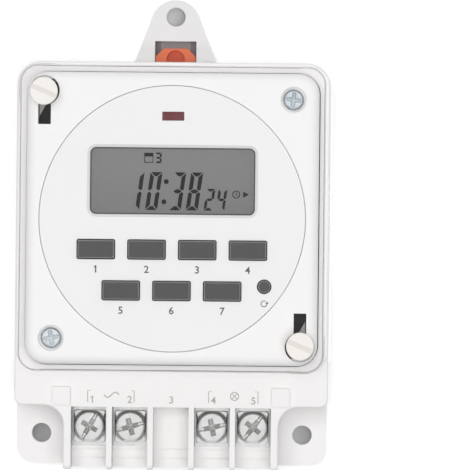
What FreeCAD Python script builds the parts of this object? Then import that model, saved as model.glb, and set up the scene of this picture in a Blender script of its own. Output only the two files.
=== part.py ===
import FreeCAD, Part

import math
import os

import Sketcher
from FreeCAD import Vector

# Digital weekly timer: a white housing for a 35 mm rail or for two ears and a hanging tab,
# a round control dial under a clear cover, and five screw terminals at the foot.
# X to the right, Z up, the front looks along -Y. The origin is the middle of the rail channel
# on the back plane, so a depth "d" below is a distance from that plane towards the front.

document = FreeCAD.newDocument("weekly_timer")
sheet = document.addObject("Spreadsheet::Sheet", "Sizes")

# Driving sizes in millimetres (angles in degrees), each written once

SIZES = {
    # housing
    "body_width": 77.5,
    "body_top": 38.75,
    "body_foot": 46.3,
    "body_depth": 31.0,
    "body_round": 6.0,
    "foot_round": 2.0,
    "shell_wall": 2.6,
    "back_floor": 8.7,
    "edge_soft": 0.5,
    # rail channel, for a rail with 35 mm over its lips
    "rail_width": 35.0,
    "rail_lip": 1.0,
    "rail_play": 0.3,
    "rail_seat": 6.5,
    "hook_reach": 2.9,
    # ears and hanging tab
    "ear_overhang": 0.2,
    "ear_foot": 61.7,
    "ear_depth": 5.0,
    "ear_round": 4.5,
    "ear_neck": 5.0,
    "ear_hole": 4.95,
    "ear_inset": 6.15,
    "ear_hole_level": 54.05,
    "tab_round": 6.2,
    "tab_apex": 66.2,
    "tab_slope": 0.384,
    "tab_depth": 5.0,
    "tab_hole": 4.84,
    "tab_hole_level": 50.9,
    "window_width": 10.4,
    "window_top": 44.8,
    # terminal block
    "cell_pitch": 10.16,
    "cell_count": 5.0,
    "cell_width": 8.8,
    "block_wall": 1.85,
    "block_foot": 62.1,
    "cell_floor": 18.0,
    "cell_step": 1.6,
    "step_level": 57.3,
    "sill_level": 59.6,
    "cell_top": 0.3,
    "post_side": 4.4,
    "post_offset": 0.53,
    "post_rise": 2.0,
    "post_gap": 0.2,
    # terminal hardware, thread M4
    "plate_play": 0.2,
    "plate_height": 9.7,
    "plate_thick": 1.0,
    "tongue_width": 5.0,
    "tongue_play": 0.2,
    "tongue_inset": 3.0,
    "rib_round": 1.3,
    "bore_play": 0.3,
    "thread": 4.0,
    "thread_play": 0.05,
    "screw_level": 51.7,
    "screw_head": 7.35,
    "screw_head_rise": 2.6,
    "screw_soft": 0.9,
    "screw_reach": 8.6,
    "washer_play": 0.4,
    "washer_round": 0.6,
    "washer_thick": 0.9,
    "washer_gap": 0.3,
    "seat_play": 0.05,
    # front panel and dial
    "panel_play": 0.35,
    "panel_wall": 1.8,
    "panel_skin": 2.2,
    "panel_stand": 13.0,
    "panel_height": 16.0,
    "panel_round": 5.0,
    "panel_edge": 2.4,
    "dial_inset": 3.25,
    "dial_gap": 0.15,
    "dial_thick": 2.0,
    "dial_rise": 0.2,
    "ring_width": 2.2,
    "ring_thick": 1.8,
    "screw_inset": 6.4,
    "well_diameter": 6.3,
    "well_depth": 3.0,
    "panel_screw_head": 5.1,
    "panel_screw_rise": 2.0,
    "panel_screw_soft": 0.7,
    "panel_screw_shank": 2.8,
    "panel_screw_length": 14.0,
    "shank_play": 0.05,
    "boss_diameter": 8.0,
    "boss_drop": 5.8,
    # windows in the dial
    "lcd_width": 40.4,
    "lcd_height": 16.4,
    "lcd_level": 9.2,
    "lcd_round": 1.5,
    "lcd_bevel": 0.7,
    "dial_soft": 0.15,
    "led_width": 5.4,
    "led_height": 2.2,
    "led_level": 25.1,
    "led_flange": 1.0,
    "led_sink": 0.25,
    "led_play": 0.1,
    # keys
    "key_width": 9.05,
    "key_height": 4.56,
    "key_pitch": 12.4,
    "key_row_upper": 7.6,
    "key_row_lower": 17.65,
    "key_play": 0.22,
    "key_rise": 0.8,
    "key_round": 0.5,
    "key_flange": 0.9,
    "key_flange_thick": 1.0,
    "key_flange_gap": 0.3,
    "key_travel": 0.8,
    "key_soft": 0.35,
    "reset_diameter": 3.16,
    "reset_reach": 22.66,
    "reset_level": 16.4,
    "reset_flange": 0.6,
    "reset_rise": 0.3,
    # display stack
    "board_thick": 1.6,
    "display_drop": 7.2,
    "display_gap": 0.85,
    "mat_thick": 1.0,
    "mat_margin": 2.4,
    "dome_rise": 1.0,
    "dome_foot": 2.3,
    "dome_head": 1.8,
    "dome_draft": 20.0,
    "mat_inset": 0.4,
    "dome_gap": 0.05,
    "glass_margin": 1.2,
    "glass_thick": 1.8,
    "glass_gap": 0.3,
    "holder_wall": 1.0,
    "holder_play": 0.1,
    "zebra_depth": 2.2,
    "pillar_diameter": 4.4,
    "pillar_gap": 1.7,
    "pillar_side_level": 7.2,
    "pillar_foot_gap": 0.67,
    "pillar_rim_gap": 0.07,
    "small_shank": 2.0,
    "small_head": 3.8,
    "small_head_rise": 1.5,
    "small_length": 5.0,
    "small_play": 0.2,
    "small_tip": 2.0,
    "small_reach": 2.6,
    "led_diameter": 3.0,
    "led_drop": 0.4,
    "led_foot": 1.0,
    "chip_width": 12.0,
    "chip_thick": 1.4,
    "chip_side": 12.0,
    "chip_level": 10.0,
    "cell_diameter": 14.0,
    "cell_thick": 3.4,
    "crystal_diameter": 2.0,
    "crystal_length": 6.0,
    # clear cover and its locks
    "cover_overhang": 0.6,
    "cover_overrise": 0.25,
    "cover_seat": 0.25,
    "cover_flange": 2.2,
    "cover_brim": 0.9,
    "cover_round": 6.0,
    "cover_lean_side": 1.95,
    "cover_lean_level": 1.55,
    "cover_face_round": 4.8,
    "cover_stand": 8.6,
    "cover_wall": 1.3,
    "cover_skin": 1.8,
    "cover_edge": 0.7,
    "grip_length": 22.5,
    "grip_count": 9.0,
    "grip_rise": 0.55,
    "grip_depth": 7.5,
    "cover_travel": 60.0,
    "lock_inset_side": 5.9,
    "lock_inset_level": 6.65,
    "lock_head": 6.8,
    "lock_head_rise": 1.5,
    "lock_sink": 0.8,
    "lock_ring": 0.25,
    "lock_neck": 5.0,
    "lock_play": 0.08,
    "lock_collar_gap": 0.1,
    "lock_collar_thick": 0.8,
    "lock_collar": 0.5,
    "lock_shaft": 4.2,
    "lock_slot": 1.2,
    "lock_soft": 0.3,
    "lock_slot_depth": 0.35,
    "lock_slot_turn": -23.0,
    "bit_width": 2.6,
    "bit_reach": 5.9,
    "bit_heel": 1.4,
    "bit_thick": 2.4,
    "bit_drop": 0.4,
    "keyhole": 7.3,
    "keyhole_rise": 0.35,
    "keyhole_reach": 7.95,
    "keyhole_play": 0.25,
    # rail latch and its spring
    "latch_width": 10.0,
    "latch_play": 0.2,
    "latch_thick": 2.4,
    "latch_back": 1.0,
    "latch_lip": 1.5,
    "latch_nose": 15.0,
    "latch_nose_height": 3.6,
    "latch_lead": 1.6,
    "latch_head": 43.0,
    "latch_chamfer": 2.0,
    "latch_eye": 4.5,
    "latch_eye_drop": 2.7,
    "latch_eye_floor": 0.9,
    "latch_travel": 4.5,
    "slot_width": 3.4,
    "slot_foot": 22.5,
    "slot_head": 35.5,
    "peg_height": 2.0,
    "peg_width": 2.8,
    "spring_width": 2.3,
    "spring_wire": 0.4,
    "spring_turns": 6.0,
    "spring_seat": 0.03,
    # power board and what it carries
    "power_seat": 12.0,
    "power_width": 62.0,
    "power_height": 48.0,
    "relay_width": 19.0,
    "relay_height": 15.4,
    "relay_rise": 15.3,
    "relay_edge": 0.6,
    "relay_side": 12.0,
    "relay_level": 6.0,
    "film_width": 18.0,
    "film_height": 8.5,
    "film_rise": 12.0,
    "film_edge": 1.0,
    "film_side": 14.0,
    "film_level": 10.0,
    "can_diameter": 8.0,
    "can_rise": 11.5,
    "can_side": 22.0,
    "can_level": 4.0,
    "disc_diameter": 10.0,
    "disc_thick": 4.2,
    "disc_leg": 2.4,
    "disc_side": -10.0,
    "disc_level": -10.0,
    "pin_pitch": 2.54,
    "pin_count": 6.0,
    "pin_side": 0.64,
    "link_level": 21.0,
    "bearer_diameter": 6.0,
    "bearer_side": 27.0,
    "bearer_level": 20.0,
}


class Size:
    """A length that keeps the formula it comes from beside its number."""

    def __init__(self, number, formula):
        self.number = float(number)
        self.formula = formula

    def __add__(self, other):
        other = as_size(other)
        return Size(self.number + other.number, "(%s + %s)" % (self.formula, other.formula))

    def __sub__(self, other):
        other = as_size(other)
        return Size(self.number - other.number, "(%s - %s)" % (self.formula, other.formula))

    def __mul__(self, other):
        other = as_size(other)
        return Size(self.number * other.number, "(%s * %s)" % (self.formula, other.formula))

    def __truediv__(self, other):
        other = as_size(other)
        return Size(self.number / other.number, "(%s / %s)" % (self.formula, other.formula))

    def __radd__(self, other):
        return as_size(other) + self

    def __rsub__(self, other):
        return as_size(other) - self

    def __rmul__(self, other):
        return as_size(other) * self

    def leg(self, other):
        """The other short side of a right triangle with this long side."""
        other = as_size(other)
        number = math.sqrt(self.number ** 2 - other.number ** 2)
        return Size(number, "sqrt((%s)^2 - (%s)^2)" % (self.formula, other.formula))

    def __neg__(self):
        return Size(-self.number, "(0 - %s)" % self.formula)


def as_size(value):
    """A bare number becomes a constant in the formula."""
    if isinstance(value, Size):
        return value
    return Size(value, repr(float(value)) if value >= 0 else "(0 - %r)" % -float(value))


class Sheet:
    """Every driving size by its name."""

    def __init__(self, sizes):
        for row, (alias, number) in enumerate(sizes.items(), start=1):
            sheet.set("A%d" % row, alias)
            sheet.set("B%d" % row, repr(number))
            sheet.setAlias("B%d" % row, alias)
            setattr(self, alias, Size(number, "Sizes." + alias))


s = Sheet(SIZES)
document.recompute()

# Sizes that follow from the driving ones

body_half = s.body_width / 2
cavity_half = body_half - s.shell_wall
cavity_top = s.body_top - s.shell_wall
panel_half = cavity_half - s.panel_play
panel_top = cavity_top - s.panel_play
panel_face = s.body_depth + s.panel_stand
panel_tail = panel_face - s.panel_height
panel_back = panel_face - s.panel_skin
screw_side = panel_half - s.screw_inset
screw_rise = panel_top - s.screw_inset
boss_split = panel_back - s.boss_drop
screw_tip = panel_face - s.well_depth - s.panel_screw_length

dial_face_level = panel_face + s.dial_rise
ledge_face = dial_face_level - s.dial_thick
dial_radius = panel_half - s.dial_inset
dial_opening = dial_radius + s.dial_gap
ring_radius = dial_radius - s.ring_width

ear_half = body_half + s.ear_overhang
ear_hole_side = ear_half - s.ear_inset
rail_half = s.rail_width / 2 + s.rail_play
rail_back = s.rail_seat - s.rail_lip - s.rail_play / 2
hook_edge = rail_half - s.hook_reach

block_half = 2 * s.cell_pitch + s.cell_width / 2 + s.block_wall
post_reach = block_half + s.post_offset
plate_width = s.cell_width - 2 * s.plate_play
washer_side = s.cell_width - 2 * s.washer_play
plate_top = s.body_foot + 2 * s.cell_top
plate_face = s.cell_floor + s.plate_thick
washer_back = plate_face + s.washer_gap
washer_face = washer_back + s.washer_thick
head_back = washer_face + s.seat_play
terminal_tip = head_back - s.screw_reach

display_seat = ledge_face - s.display_drop
display_back = display_seat - s.board_thick
display_radius = ring_radius - s.display_gap
glass_face = ledge_face - s.glass_gap
glass_back = glass_face - s.glass_thick
mat_face = display_seat + s.mat_thick
dome_face = mat_face + s.dome_rise
key_tail = dome_face + s.key_travel + s.dome_gap
key_flange_face = ledge_face - s.key_flange_gap
holder_half = s.lcd_width / 2 + s.glass_margin + s.holder_play + s.holder_wall
pillar_side = holder_half + s.pillar_gap + s.pillar_diameter / 2
mat_foot = s.key_row_lower + s.key_height / 2 + s.mat_margin
pillar_foot_level = mat_foot + s.pillar_foot_gap + s.pillar_diameter / 2
pillar_foot_side = (ring_radius - s.pillar_diameter / 2 - s.pillar_rim_gap).leg(pillar_foot_level)

cover_back = s.body_depth + s.cover_seat
cover_front = panel_face + s.cover_stand
cover_inner = cover_front - s.cover_skin
cover_side = body_half + s.cover_overhang
cover_level = s.body_top + s.cover_overrise
cover_face_side = cover_side - s.cover_lean_side
cover_face_level = cover_level - s.cover_lean_level
lock_side = cover_face_side - s.lock_inset_side
lock_level = cover_face_level - s.lock_inset_level
bit_face = panel_back - s.bit_drop
bit_back = bit_face - s.bit_thick

latch_face = s.latch_back + s.latch_thick
guide_face = latch_face + s.latch_play
guide_back = s.latch_back - s.latch_play
guide_half = s.latch_width / 2 + s.latch_play
nose_top = s.latch_nose + s.latch_nose_height
well_top = nose_top + s.latch_travel + s.rail_play
guide_top = s.latch_head + s.latch_travel + s.rail_play
peg_head = s.slot_head - s.latch_play / 2
peg_foot = peg_head - s.peg_height
power_face = s.power_seat + s.board_thick

KEY_PLACES = {
    "key_1": (-1.5 * s.key_pitch, -s.key_row_upper),
    "key_2": (-0.5 * s.key_pitch, -s.key_row_upper),
    "key_3": (0.5 * s.key_pitch, -s.key_row_upper),
    "key_4": (1.5 * s.key_pitch, -s.key_row_upper),
    "key_5": (-1.0 * s.key_pitch, -s.key_row_lower),
    "key_6": (0.0 * s.key_pitch, -s.key_row_lower),
    "key_7": (1.0 * s.key_pitch, -s.key_row_lower),
}
RESET_PLACE = (s.reset_reach, -s.reset_level)
CELLS = {1: -2.0, 2: -1.0, 3: 0.0, 4: 1.0, 5: 2.0}
WIRED_CELLS = (1, 2, 4, 5)
PANEL_SCREWS = {"upper": 1.0, "lower": -1.0}
PILLARS = (
    (-pillar_side, s.pillar_side_level),
    (pillar_side, s.pillar_side_level),
    (-pillar_foot_side, -pillar_foot_level),
    (pillar_foot_side, -pillar_foot_level),
)
BEARERS = (
    (-s.bearer_side, s.bearer_level),
    (s.bearer_side, -s.bearer_level),
)

# Sketches and features


def bind(thing, prop, value):
    """Give a property its number and tie it to the sheet."""
    value = as_size(value)
    setattr(thing, prop, value.number)
    thing.setExpression(prop, value.formula)


def origin_plane(body, role):
    return [item for item in body.Origin.OriginFeatures if item.Role == role][0]


def new_body(label):
    body = document.addObject("PartDesign::Body", label)
    body.Label = label
    return body


class Drawing:
    """Outlines and circles for one sketch, with the sizes that place them."""

    def __init__(self):
        self.shapes = []
        self.helpers = []
        self.rules = []
        self.sizes = []

    def add(self, shape, helper=False):
        self.shapes.append(shape)
        if helper:
            self.helpers.append(len(self.shapes) - 1)
        return len(self.shapes) - 1

    def rule(self, kind, *where):
        self.rules.append(Sketcher.Constraint(kind, *where))

    def dimension(self, kind, where, value):
        value = as_size(value)
        self.sizes.append((len(self.rules), value.formula))
        self.rule(kind, *where, value.number)

    def fix(self, geometry, end, point):
        self.dimension("DistanceX", (-1, 1, geometry, end), point[0])
        self.dimension("DistanceY", (-1, 1, geometry, end), point[1])


def new_sketch(body, depth, draw, role="XZ_Plane"):
    """A sketch on a plane of the body's origin, moved along that plane's normal."""
    drawing = Drawing()
    draw(drawing)
    sketch = body.newObject("Sketcher::SketchObject", body.Label + "_sketch")
    sketch.AttachmentSupport = (origin_plane(body, role), [""])
    sketch.MapMode = "FlatFace"
    depth = as_size(depth)
    sketch.AttachmentOffset = FreeCAD.Placement(Vector(0, 0, depth.number), FreeCAD.Rotation())
    sketch.setExpression(".AttachmentOffset.Base.z", depth.formula)
    sketch.addGeometry(drawing.shapes, False)
    for index in drawing.helpers:
        sketch.toggleConstruction(index)
    sketch.addConstraint(drawing.rules)
    for index, formula in drawing.sizes:
        sketch.setExpression("Constraints[%d]" % index, formula)
    return sketch


def add_circle(drawing, x, z, radius):
    x, z, radius = as_size(x), as_size(z), as_size(radius)
    index = drawing.add(Part.Circle(Vector(x.number, z.number, 0), Vector(0, 0, 1), radius.number))
    drawing.fix(index, 3, (x, z))
    drawing.dimension("Radius", (index,), radius)


def add_outline(drawing, corners):
    """A closed outline through corners (x, z) or, where the corner is rounded, (x, z, radius)."""
    count = len(corners)
    places = [Vector(as_size(corner[0]).number, as_size(corner[1]).number, 0) for corner in corners]
    rounds = []
    for index, place in enumerate(places):
        if len(corners[index]) < 3:
            rounds.append((place, place, None))
            continue
        radius = as_size(corners[index][2]).number
        before = (places[index - 1] - place).normalize()
        after = (places[(index + 1) % count] - place).normalize()
        half_turn = before.getAngle(after) / 2
        run = radius / math.tan(half_turn)
        centre = place + (before + after).normalize() * (radius / math.sin(half_turn))
        rounds.append((place + before * run, place + after * run, centre))
    lines = []
    for index in range(count):
        lines.append(drawing.add(Part.LineSegment(rounds[index][1], rounds[(index + 1) % count][0])))
    for index, (enter, leave, centre) in enumerate(rounds):
        into, out = lines[index - 1], lines[index]
        if centre is None:
            drawing.rule("Coincident", into, 2, out, 1)
            drawing.fix(out, 1, corners[index])
            continue
        left_turn = (enter - centre).cross(leave - centre).z > 0
        start, stop = (enter, leave) if left_turn else (leave, enter)
        circle = Part.Circle(centre, Vector(0, 0, 1), as_size(corners[index][2]).number)
        arc = drawing.add(Part.ArcOfCircle(circle, circle.parameter(start), circle.parameter(stop)))
        drawing.rule("Tangent", into, 2, arc, 1 if left_turn else 2)
        drawing.rule("Tangent", out, 1, arc, 2 if left_turn else 1)
        drawing.dimension("Radius", (arc,), corners[index][2])
        point = drawing.add(Part.Point(places[index]), helper=True)
        drawing.fix(point, 1, corners[index])
        drawing.rule("PointOnObject", point, 1, into)
        drawing.rule("PointOnObject", point, 1, out)


def add_box(drawing, left, right, low, high, radius=None):
    corners = [(left, low), (right, low), (right, high), (left, high)]
    if radius is not None:
        corners = [(x, z, radius) for x, z in corners]
    add_outline(drawing, corners)


def add_centred(drawing, x, z, width, height, radius=None):
    x, z, width, height = as_size(x), as_size(z), as_size(width), as_size(height)
    add_box(drawing, x - width / 2, x + width / 2, z - height / 2, z + height / 2, radius)


def finish_feature(body, kind, sketch, length, taper):
    feature = body.newObject("PartDesign::" + kind, body.Label + "_" + kind.lower())
    feature.Profile = sketch
    bind(feature, "Length", length)
    if taper is not None:
        bind(feature, "TaperAngle", taper)
    feature.Refine = True
    document.recompute()
    return feature


def pad(body, sketch, length, taper=None):
    """Grow the sketch towards the front."""
    return finish_feature(body, "Pad", sketch, length, taper)


def pocket(body, sketch, length, taper=None):
    """Cut from the sketch towards the back, and make sure that it cuts."""
    before = body.Shape.Volume
    feature = finish_feature(body, "Pocket", sketch, length, taper)
    if body.Shape.Volume >= before:
        raise ValueError(body.Label + ": a pocket cuts nothing")
    return feature


def slab(body, back, front, draw, taper=None):
    """Material between two depths; draw adds the outlines."""
    return pad(body, new_sketch(body, back, draw), as_size(front) - back, taper)


def cut(body, back, front, draw, taper=None):
    """A cut between two depths, opened from the front one."""
    return pocket(body, new_sketch(body, front, draw), as_size(front) - back, taper)


def soften(body, kind, value, wanted):
    """A fillet or chamfer on the edges that the test wants."""
    document.recompute()
    shape = body.Tip.Shape
    names = ["Edge%d" % n for n, edge in enumerate(shape.Edges, start=1) if wanted(edge)]
    if not names:
        raise ValueError(body.Label + ": no edge to soften")
    base = body.Tip
    feature = body.newObject("PartDesign::" + kind, body.Label + "_" + kind.lower())
    feature.Base = (base, names)
    bind(feature, "Radius" if kind == "Fillet" else "Size", value)
    document.recompute()
    return feature


def repeat(body, feature, role, length, count):
    """Copies of a feature along an axis of the body's origin, evenly spread over a length."""
    pattern = body.newObject("PartDesign::LinearPattern", body.Label + "_pattern")
    pattern.Originals = [feature]
    pattern.Direction = (origin_plane(body, role), [""])
    bind(pattern, "Length", length)
    pattern.Occurrences = int(as_size(count).number)
    pattern.setExpression("Occurrences", as_size(count).formula)
    body.Tip = pattern
    document.recompute()
    return pattern


def at_depth(edge, depth):
    """True for an edge that lies in the plane at this depth."""
    box = edge.BoundBox
    level = -as_size(depth).number
    return abs(box.YMin - level) < 1e-4 and abs(box.YMax - level) < 1e-4

# Housing


def base_housing():
    body = new_body("base_housing")
    foot = -s.body_foot

    def main_outline(sketch):
        add_outline(sketch, [
            (-body_half, foot, s.foot_round),
            (-block_half, foot, s.ear_neck),
            (-block_half, -s.block_foot),
            (block_half, -s.block_foot),
            (block_half, foot, s.ear_neck),
            (body_half, foot, s.foot_round),
            (body_half, s.body_top, s.body_round),
            (-body_half, s.body_top, s.body_round),
        ])

    def ears(sketch):
        add_outline(sketch, [
            (-ear_half, -s.ear_foot, s.ear_round),
            (ear_half, -s.ear_foot, s.ear_round),
            (ear_half, foot + s.foot_round),
            (-ear_half, foot + s.foot_round),
        ])

    def tab(sketch):
        low = s.body_top - s.body_round
        half = (s.tab_apex - low) * s.tab_slope
        add_outline(sketch, [(-half, low), (half, low), (0, s.tab_apex, s.tab_round)])

    def posts(sketch):
        low = foot + s.post_gap
        for side in (-1, 1):
            add_centred(sketch, side * post_reach, low + s.post_side / 2, s.post_side, s.post_side)

    def foot_edge(edge):
        return at_depth(edge, s.body_depth) and edge.BoundBox.ZMax < -s.block_foot.number + 1e-4

    def front_edge(edge):
        return at_depth(edge, s.body_depth) and edge.BoundBox.ZMax > -s.step_level.number

    slab(body, 0, s.body_depth, main_outline)
    soften(body, "Fillet", s.rib_round, foot_edge)
    soften(body, "Fillet", s.edge_soft, front_edge)
    slab(body, 0, s.ear_depth, ears)
    slab(body, 0, s.tab_depth, tab)
    slab(body, s.body_depth - s.post_rise, s.body_depth + s.post_rise, posts)
    housing_inside(body)
    terminal_cells(body)
    rail_channel(body)
    latch_guide(body)
    housing_holes(body)
    return body


def housing_inside(body):
    """The tub that the boards lie in, with the bosses that carry the panel and the power board."""
    round_in = s.panel_round + s.panel_play

    def cavity(sketch):
        add_box(sketch, -cavity_half, cavity_half, -cavity_top, cavity_top, round_in)

    def bosses(sketch):
        for side in PANEL_SCREWS.values():
            add_circle(sketch, side * screw_side, side * screw_rise, s.boss_diameter / 2)

    def boss_bores(sketch):
        for side in PANEL_SCREWS.values():
            radius = s.panel_screw_shank / 2 + s.shank_play
            add_circle(sketch, side * screw_side, side * screw_rise, radius)

    def bearers(sketch):
        for x, z in BEARERS:
            add_circle(sketch, x, z, s.bearer_diameter / 2)

    def bearer_bores(sketch):
        for x, z in BEARERS:
            add_circle(sketch, x, z, s.small_shank / 2 + s.shank_play)

    cut(body, s.back_floor, s.body_depth + 1, cavity)
    slab(body, s.back_floor - 1, boss_split, bosses)
    cut(body, screw_tip - 1, boss_split, boss_bores)
    slab(body, s.back_floor - 1, s.power_seat, bearers)
    cut(body, s.power_seat - s.small_reach - s.small_play, s.power_seat + 1, bearer_bores)


def terminal_cells(body):
    """Five cells between ribs, open to the front and at the foot, with a stepped sill."""
    steps = (
        (s.cell_floor, s.body_foot + s.cell_top),
        (s.cell_floor - s.cell_step, s.step_level),
        (s.cell_floor - 2 * s.cell_step, s.sill_level),
    )
    first = -2 * s.cell_pitch
    for floor, top in steps:

        def cell(sketch, top=top):
            left = first - s.cell_width / 2
            add_box(sketch, left, left + s.cell_width, -s.block_foot - 1, -top)

        repeat(body, cut(body, floor, s.body_depth + 1, cell), "X_Axis", 4 * s.cell_pitch, s.cell_count)

    def screw_bores(sketch):
        for number in WIRED_CELLS:
            add_circle(sketch, CELLS[number] * s.cell_pitch, -s.screw_level, s.thread / 2 + s.bore_play)

    def tongue_slots(sketch):
        half = s.tongue_width / 2 + s.tongue_play
        for number in WIRED_CELLS:
            middle = CELLS[number] * s.cell_pitch
            add_box(sketch, middle - half, middle + half, -s.body_foot - s.cell_top - 1, -cavity_top + 1)

    cut(body, terminal_tip - 1, s.cell_floor + 1, screw_bores)
    cut(body, s.cell_floor, plate_face + s.tongue_play, tongue_slots)


def rail_channel(body):
    """The channel across the back: a fixed hook below, and room for the latch nose above."""
    past = body_half + 1

    def mouth(sketch):
        add_box(sketch, -past, past, -hook_edge, rail_half)

    def undercut(sketch):
        add_box(sketch, -past, past, -rail_half, -hook_edge + 1)

    def nose_well(sketch):
        add_box(sketch, -guide_half, guide_half, rail_half - 1, well_top)

    cut(body, -1, s.rail_seat, mouth)
    cut(body, rail_back, s.rail_seat, undercut)
    cut(body, -1, rail_back + s.latch_play, nose_well)


def latch_guide(body):
    """A T-shaped guide from the nose well up into the tab, a window over it and the spring's peg."""

    def guide(sketch):
        add_box(sketch, -guide_half, guide_half, well_top - 1, guide_top)

    def back_slot(sketch):
        half = guide_half - s.latch_lip
        add_box(sketch, -half, half, well_top - 1, guide_top)

    def window(sketch):
        half = s.window_width / 2
        add_box(sketch, -half, half, s.body_top, s.window_top)

    def peg(sketch):
        half = s.peg_width / 2
        add_box(sketch, -half, half, peg_foot, peg_head)

    cut(body, guide_back, guide_face, guide)
    cut(body, -1, guide_back + 1, back_slot)
    cut(body, guide_face - 1, s.tab_depth + 1, window)
    slab(body, s.latch_back, guide_face + 1, peg)


def housing_holes(body):
    def holes(sketch):
        add_circle(sketch, 0, s.tab_hole_level, s.tab_hole / 2)
        for side in (-1, 1):
            add_circle(sketch, side * ear_hole_side, -s.ear_hole_level, s.ear_hole / 2)

    cut(body, -1, s.tab_depth + 1, holes)


# Front panel and dial


def front_panel():
    body = new_body("front_panel")
    reach, rise = panel_half - s.panel_wall, panel_top - s.panel_wall

    def skin(sketch):
        add_box(sketch, -panel_half, panel_half, -panel_top, panel_top, s.panel_round)

    def hollow(sketch):
        add_box(sketch, -reach, reach, -rise, rise, s.panel_round - s.panel_wall)

    slab(body, panel_tail, panel_face, skin)
    soften(body, "Fillet", s.panel_edge, lambda edge: at_depth(edge, panel_face))
    cut(body, panel_tail - 1, panel_back, hollow)

    ring_back = ledge_face - s.ring_thick
    slab(body, ring_back, panel_back + 1, lambda k: add_circle(k, 0, 0, dial_opening + s.panel_wall))
    cut(body, ledge_face, panel_face + 1, lambda k: add_circle(k, 0, 0, dial_opening))
    cut(body, ring_back - 1, ledge_face + 1, lambda k: add_circle(k, 0, 0, ring_radius))

    def at_screws(radius):
        def draw(sketch):
            for side in PANEL_SCREWS.values():
                add_circle(sketch, side * screw_side, side * screw_rise, radius)
        return draw

    well_floor = panel_face - s.well_depth
    slab(body, boss_split, panel_back + 1, at_screws(s.boss_diameter / 2))
    cut(body, well_floor, panel_face + 1, at_screws(s.well_diameter / 2))
    cut(body, boss_split - 1, well_floor + 1, at_screws(s.panel_screw_shank / 2 + 4 * s.shank_play))

    # keyholes that let the bits of the cover locks through
    def lock_bores(sketch):
        for side in (-1, 1):
            add_circle(sketch, side * lock_side, -side * (lock_level + s.keyhole_rise), s.keyhole / 2)

    def lock_slots(sketch):
        half = s.bit_width / 2 + s.keyhole_play
        for side in (-1, 1):
            x, z = side * lock_side, -side * lock_level
            end = z + side * s.keyhole_reach
            low, high = (end, z) if side < 0 else (z, end)
            add_box(sketch, x - half, x + half, low, high)

    cut(body, panel_back - 1, panel_face + 1, lock_bores)
    cut(body, panel_back - 1, panel_face + 1, lock_slots)
    return body


def dial_face():
    body = new_body("dial_face")
    slab(body, ledge_face, dial_face_level, lambda k: add_circle(k, 0, 0, dial_radius))
    soften(body, "Fillet", s.dial_soft, lambda edge: at_depth(edge, dial_face_level))

    def open_up(draw):
        cut(body, ledge_face - 1, dial_face_level + 1, draw)

    def pillars(radius):
        def draw(sketch):
            for x, z in PILLARS:
                add_circle(sketch, x, z, radius)
        return draw

    wide, high = s.key_width + 2 * s.key_play, s.key_height + 2 * s.key_play
    open_up(lambda k: add_centred(k, 0, s.lcd_level, s.lcd_width, s.lcd_height, s.lcd_round))
    open_up(lambda k: add_centred(k, 0, s.led_level, s.led_width, s.led_height))
    open_up(lambda k: add_circle(k, *RESET_PLACE, s.reset_diameter / 2 + s.key_play))
    for x, z in KEY_PLACES.values():
        open_up(lambda k, x=x, z=z: add_centred(k, x, z, wide, high, s.key_round))

    def lcd_rim(edge):
        box = edge.BoundBox
        near = abs((box.ZMin + box.ZMax) / 2 - s.lcd_level.number) < s.lcd_height.number / 2 + 0.1
        across = max(abs(box.XMin), abs(box.XMax)) < s.lcd_width.number / 2 + 0.1
        return at_depth(edge, dial_face_level) and near and across

    soften(body, "Chamfer", s.lcd_bevel, lcd_rim)
    slab(body, display_seat, ledge_face + 1, pillars(s.pillar_diameter / 2))
    cut(body, display_seat - 1, display_seat + s.small_length, pillars(s.small_shank / 2 + s.shank_play))
    return body


def key(label, x, z):
    body = new_body(label)
    flange_back = key_flange_face - s.key_flange_thick
    wide, high = s.key_width, s.key_height
    lip = 2 * s.key_flange
    crown = dial_face_level + s.key_rise
    slab(body, key_flange_face - s.key_flange_thick / 2, crown, lambda k: add_centred(k, x, z, wide, high))
    soften(body, "Fillet", s.key_soft, lambda edge: at_depth(edge, crown))
    slab(body, flange_back, key_flange_face, lambda k: add_centred(k, x, z, wide + lip, high + lip))
    slab(body, key_tail, flange_back + s.key_flange_thick / 2, lambda k: add_circle(k, x, z, s.dome_head))
    return body


def key_reset():
    body = new_body("key_reset")
    x, z = RESET_PLACE
    flange_back = key_flange_face - s.key_flange_thick
    radius = s.reset_diameter / 2
    crown = dial_face_level + s.reset_rise
    slab(body, key_flange_face - s.key_flange_thick / 2, crown, lambda k: add_circle(k, x, z, radius))
    soften(body, "Fillet", s.key_soft, lambda edge: at_depth(edge, crown))
    slab(body, flange_back, key_flange_face, lambda k: add_circle(k, x, z, radius + s.reset_flange))
    slab(body, key_tail, flange_back + s.key_flange_thick / 2, lambda k: add_circle(k, x, z, radius / 2))
    return body


def led_lens():
    body = new_body("led_lens")
    wide, high = s.led_width - s.led_play, s.led_height - s.led_play
    rim = 2 * s.led_flange
    back = ledge_face - s.led_flange
    slab(body, back, dial_face_level - s.led_sink, lambda k: add_centred(k, 0, s.led_level, wide, high))
    slab(body, back, ledge_face, lambda k: add_centred(k, 0, s.led_level, wide + rim, high + rim))
    return body


# Clear cover and its two locks


def loft_between(body, kind, back, back_draw, front, front_draw):
    """A drafted block, or a drafted hollow, between two outlines."""
    rear = new_sketch(body, back, back_draw)
    fore = new_sketch(body, front, front_draw)
    document.recompute()
    feature = body.newObject("PartDesign::" + kind, body.Label + "_draft")
    feature.Profile = rear
    feature.Sections = [fore]
    feature.Ruled = True
    document.recompute()
    return feature


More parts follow.
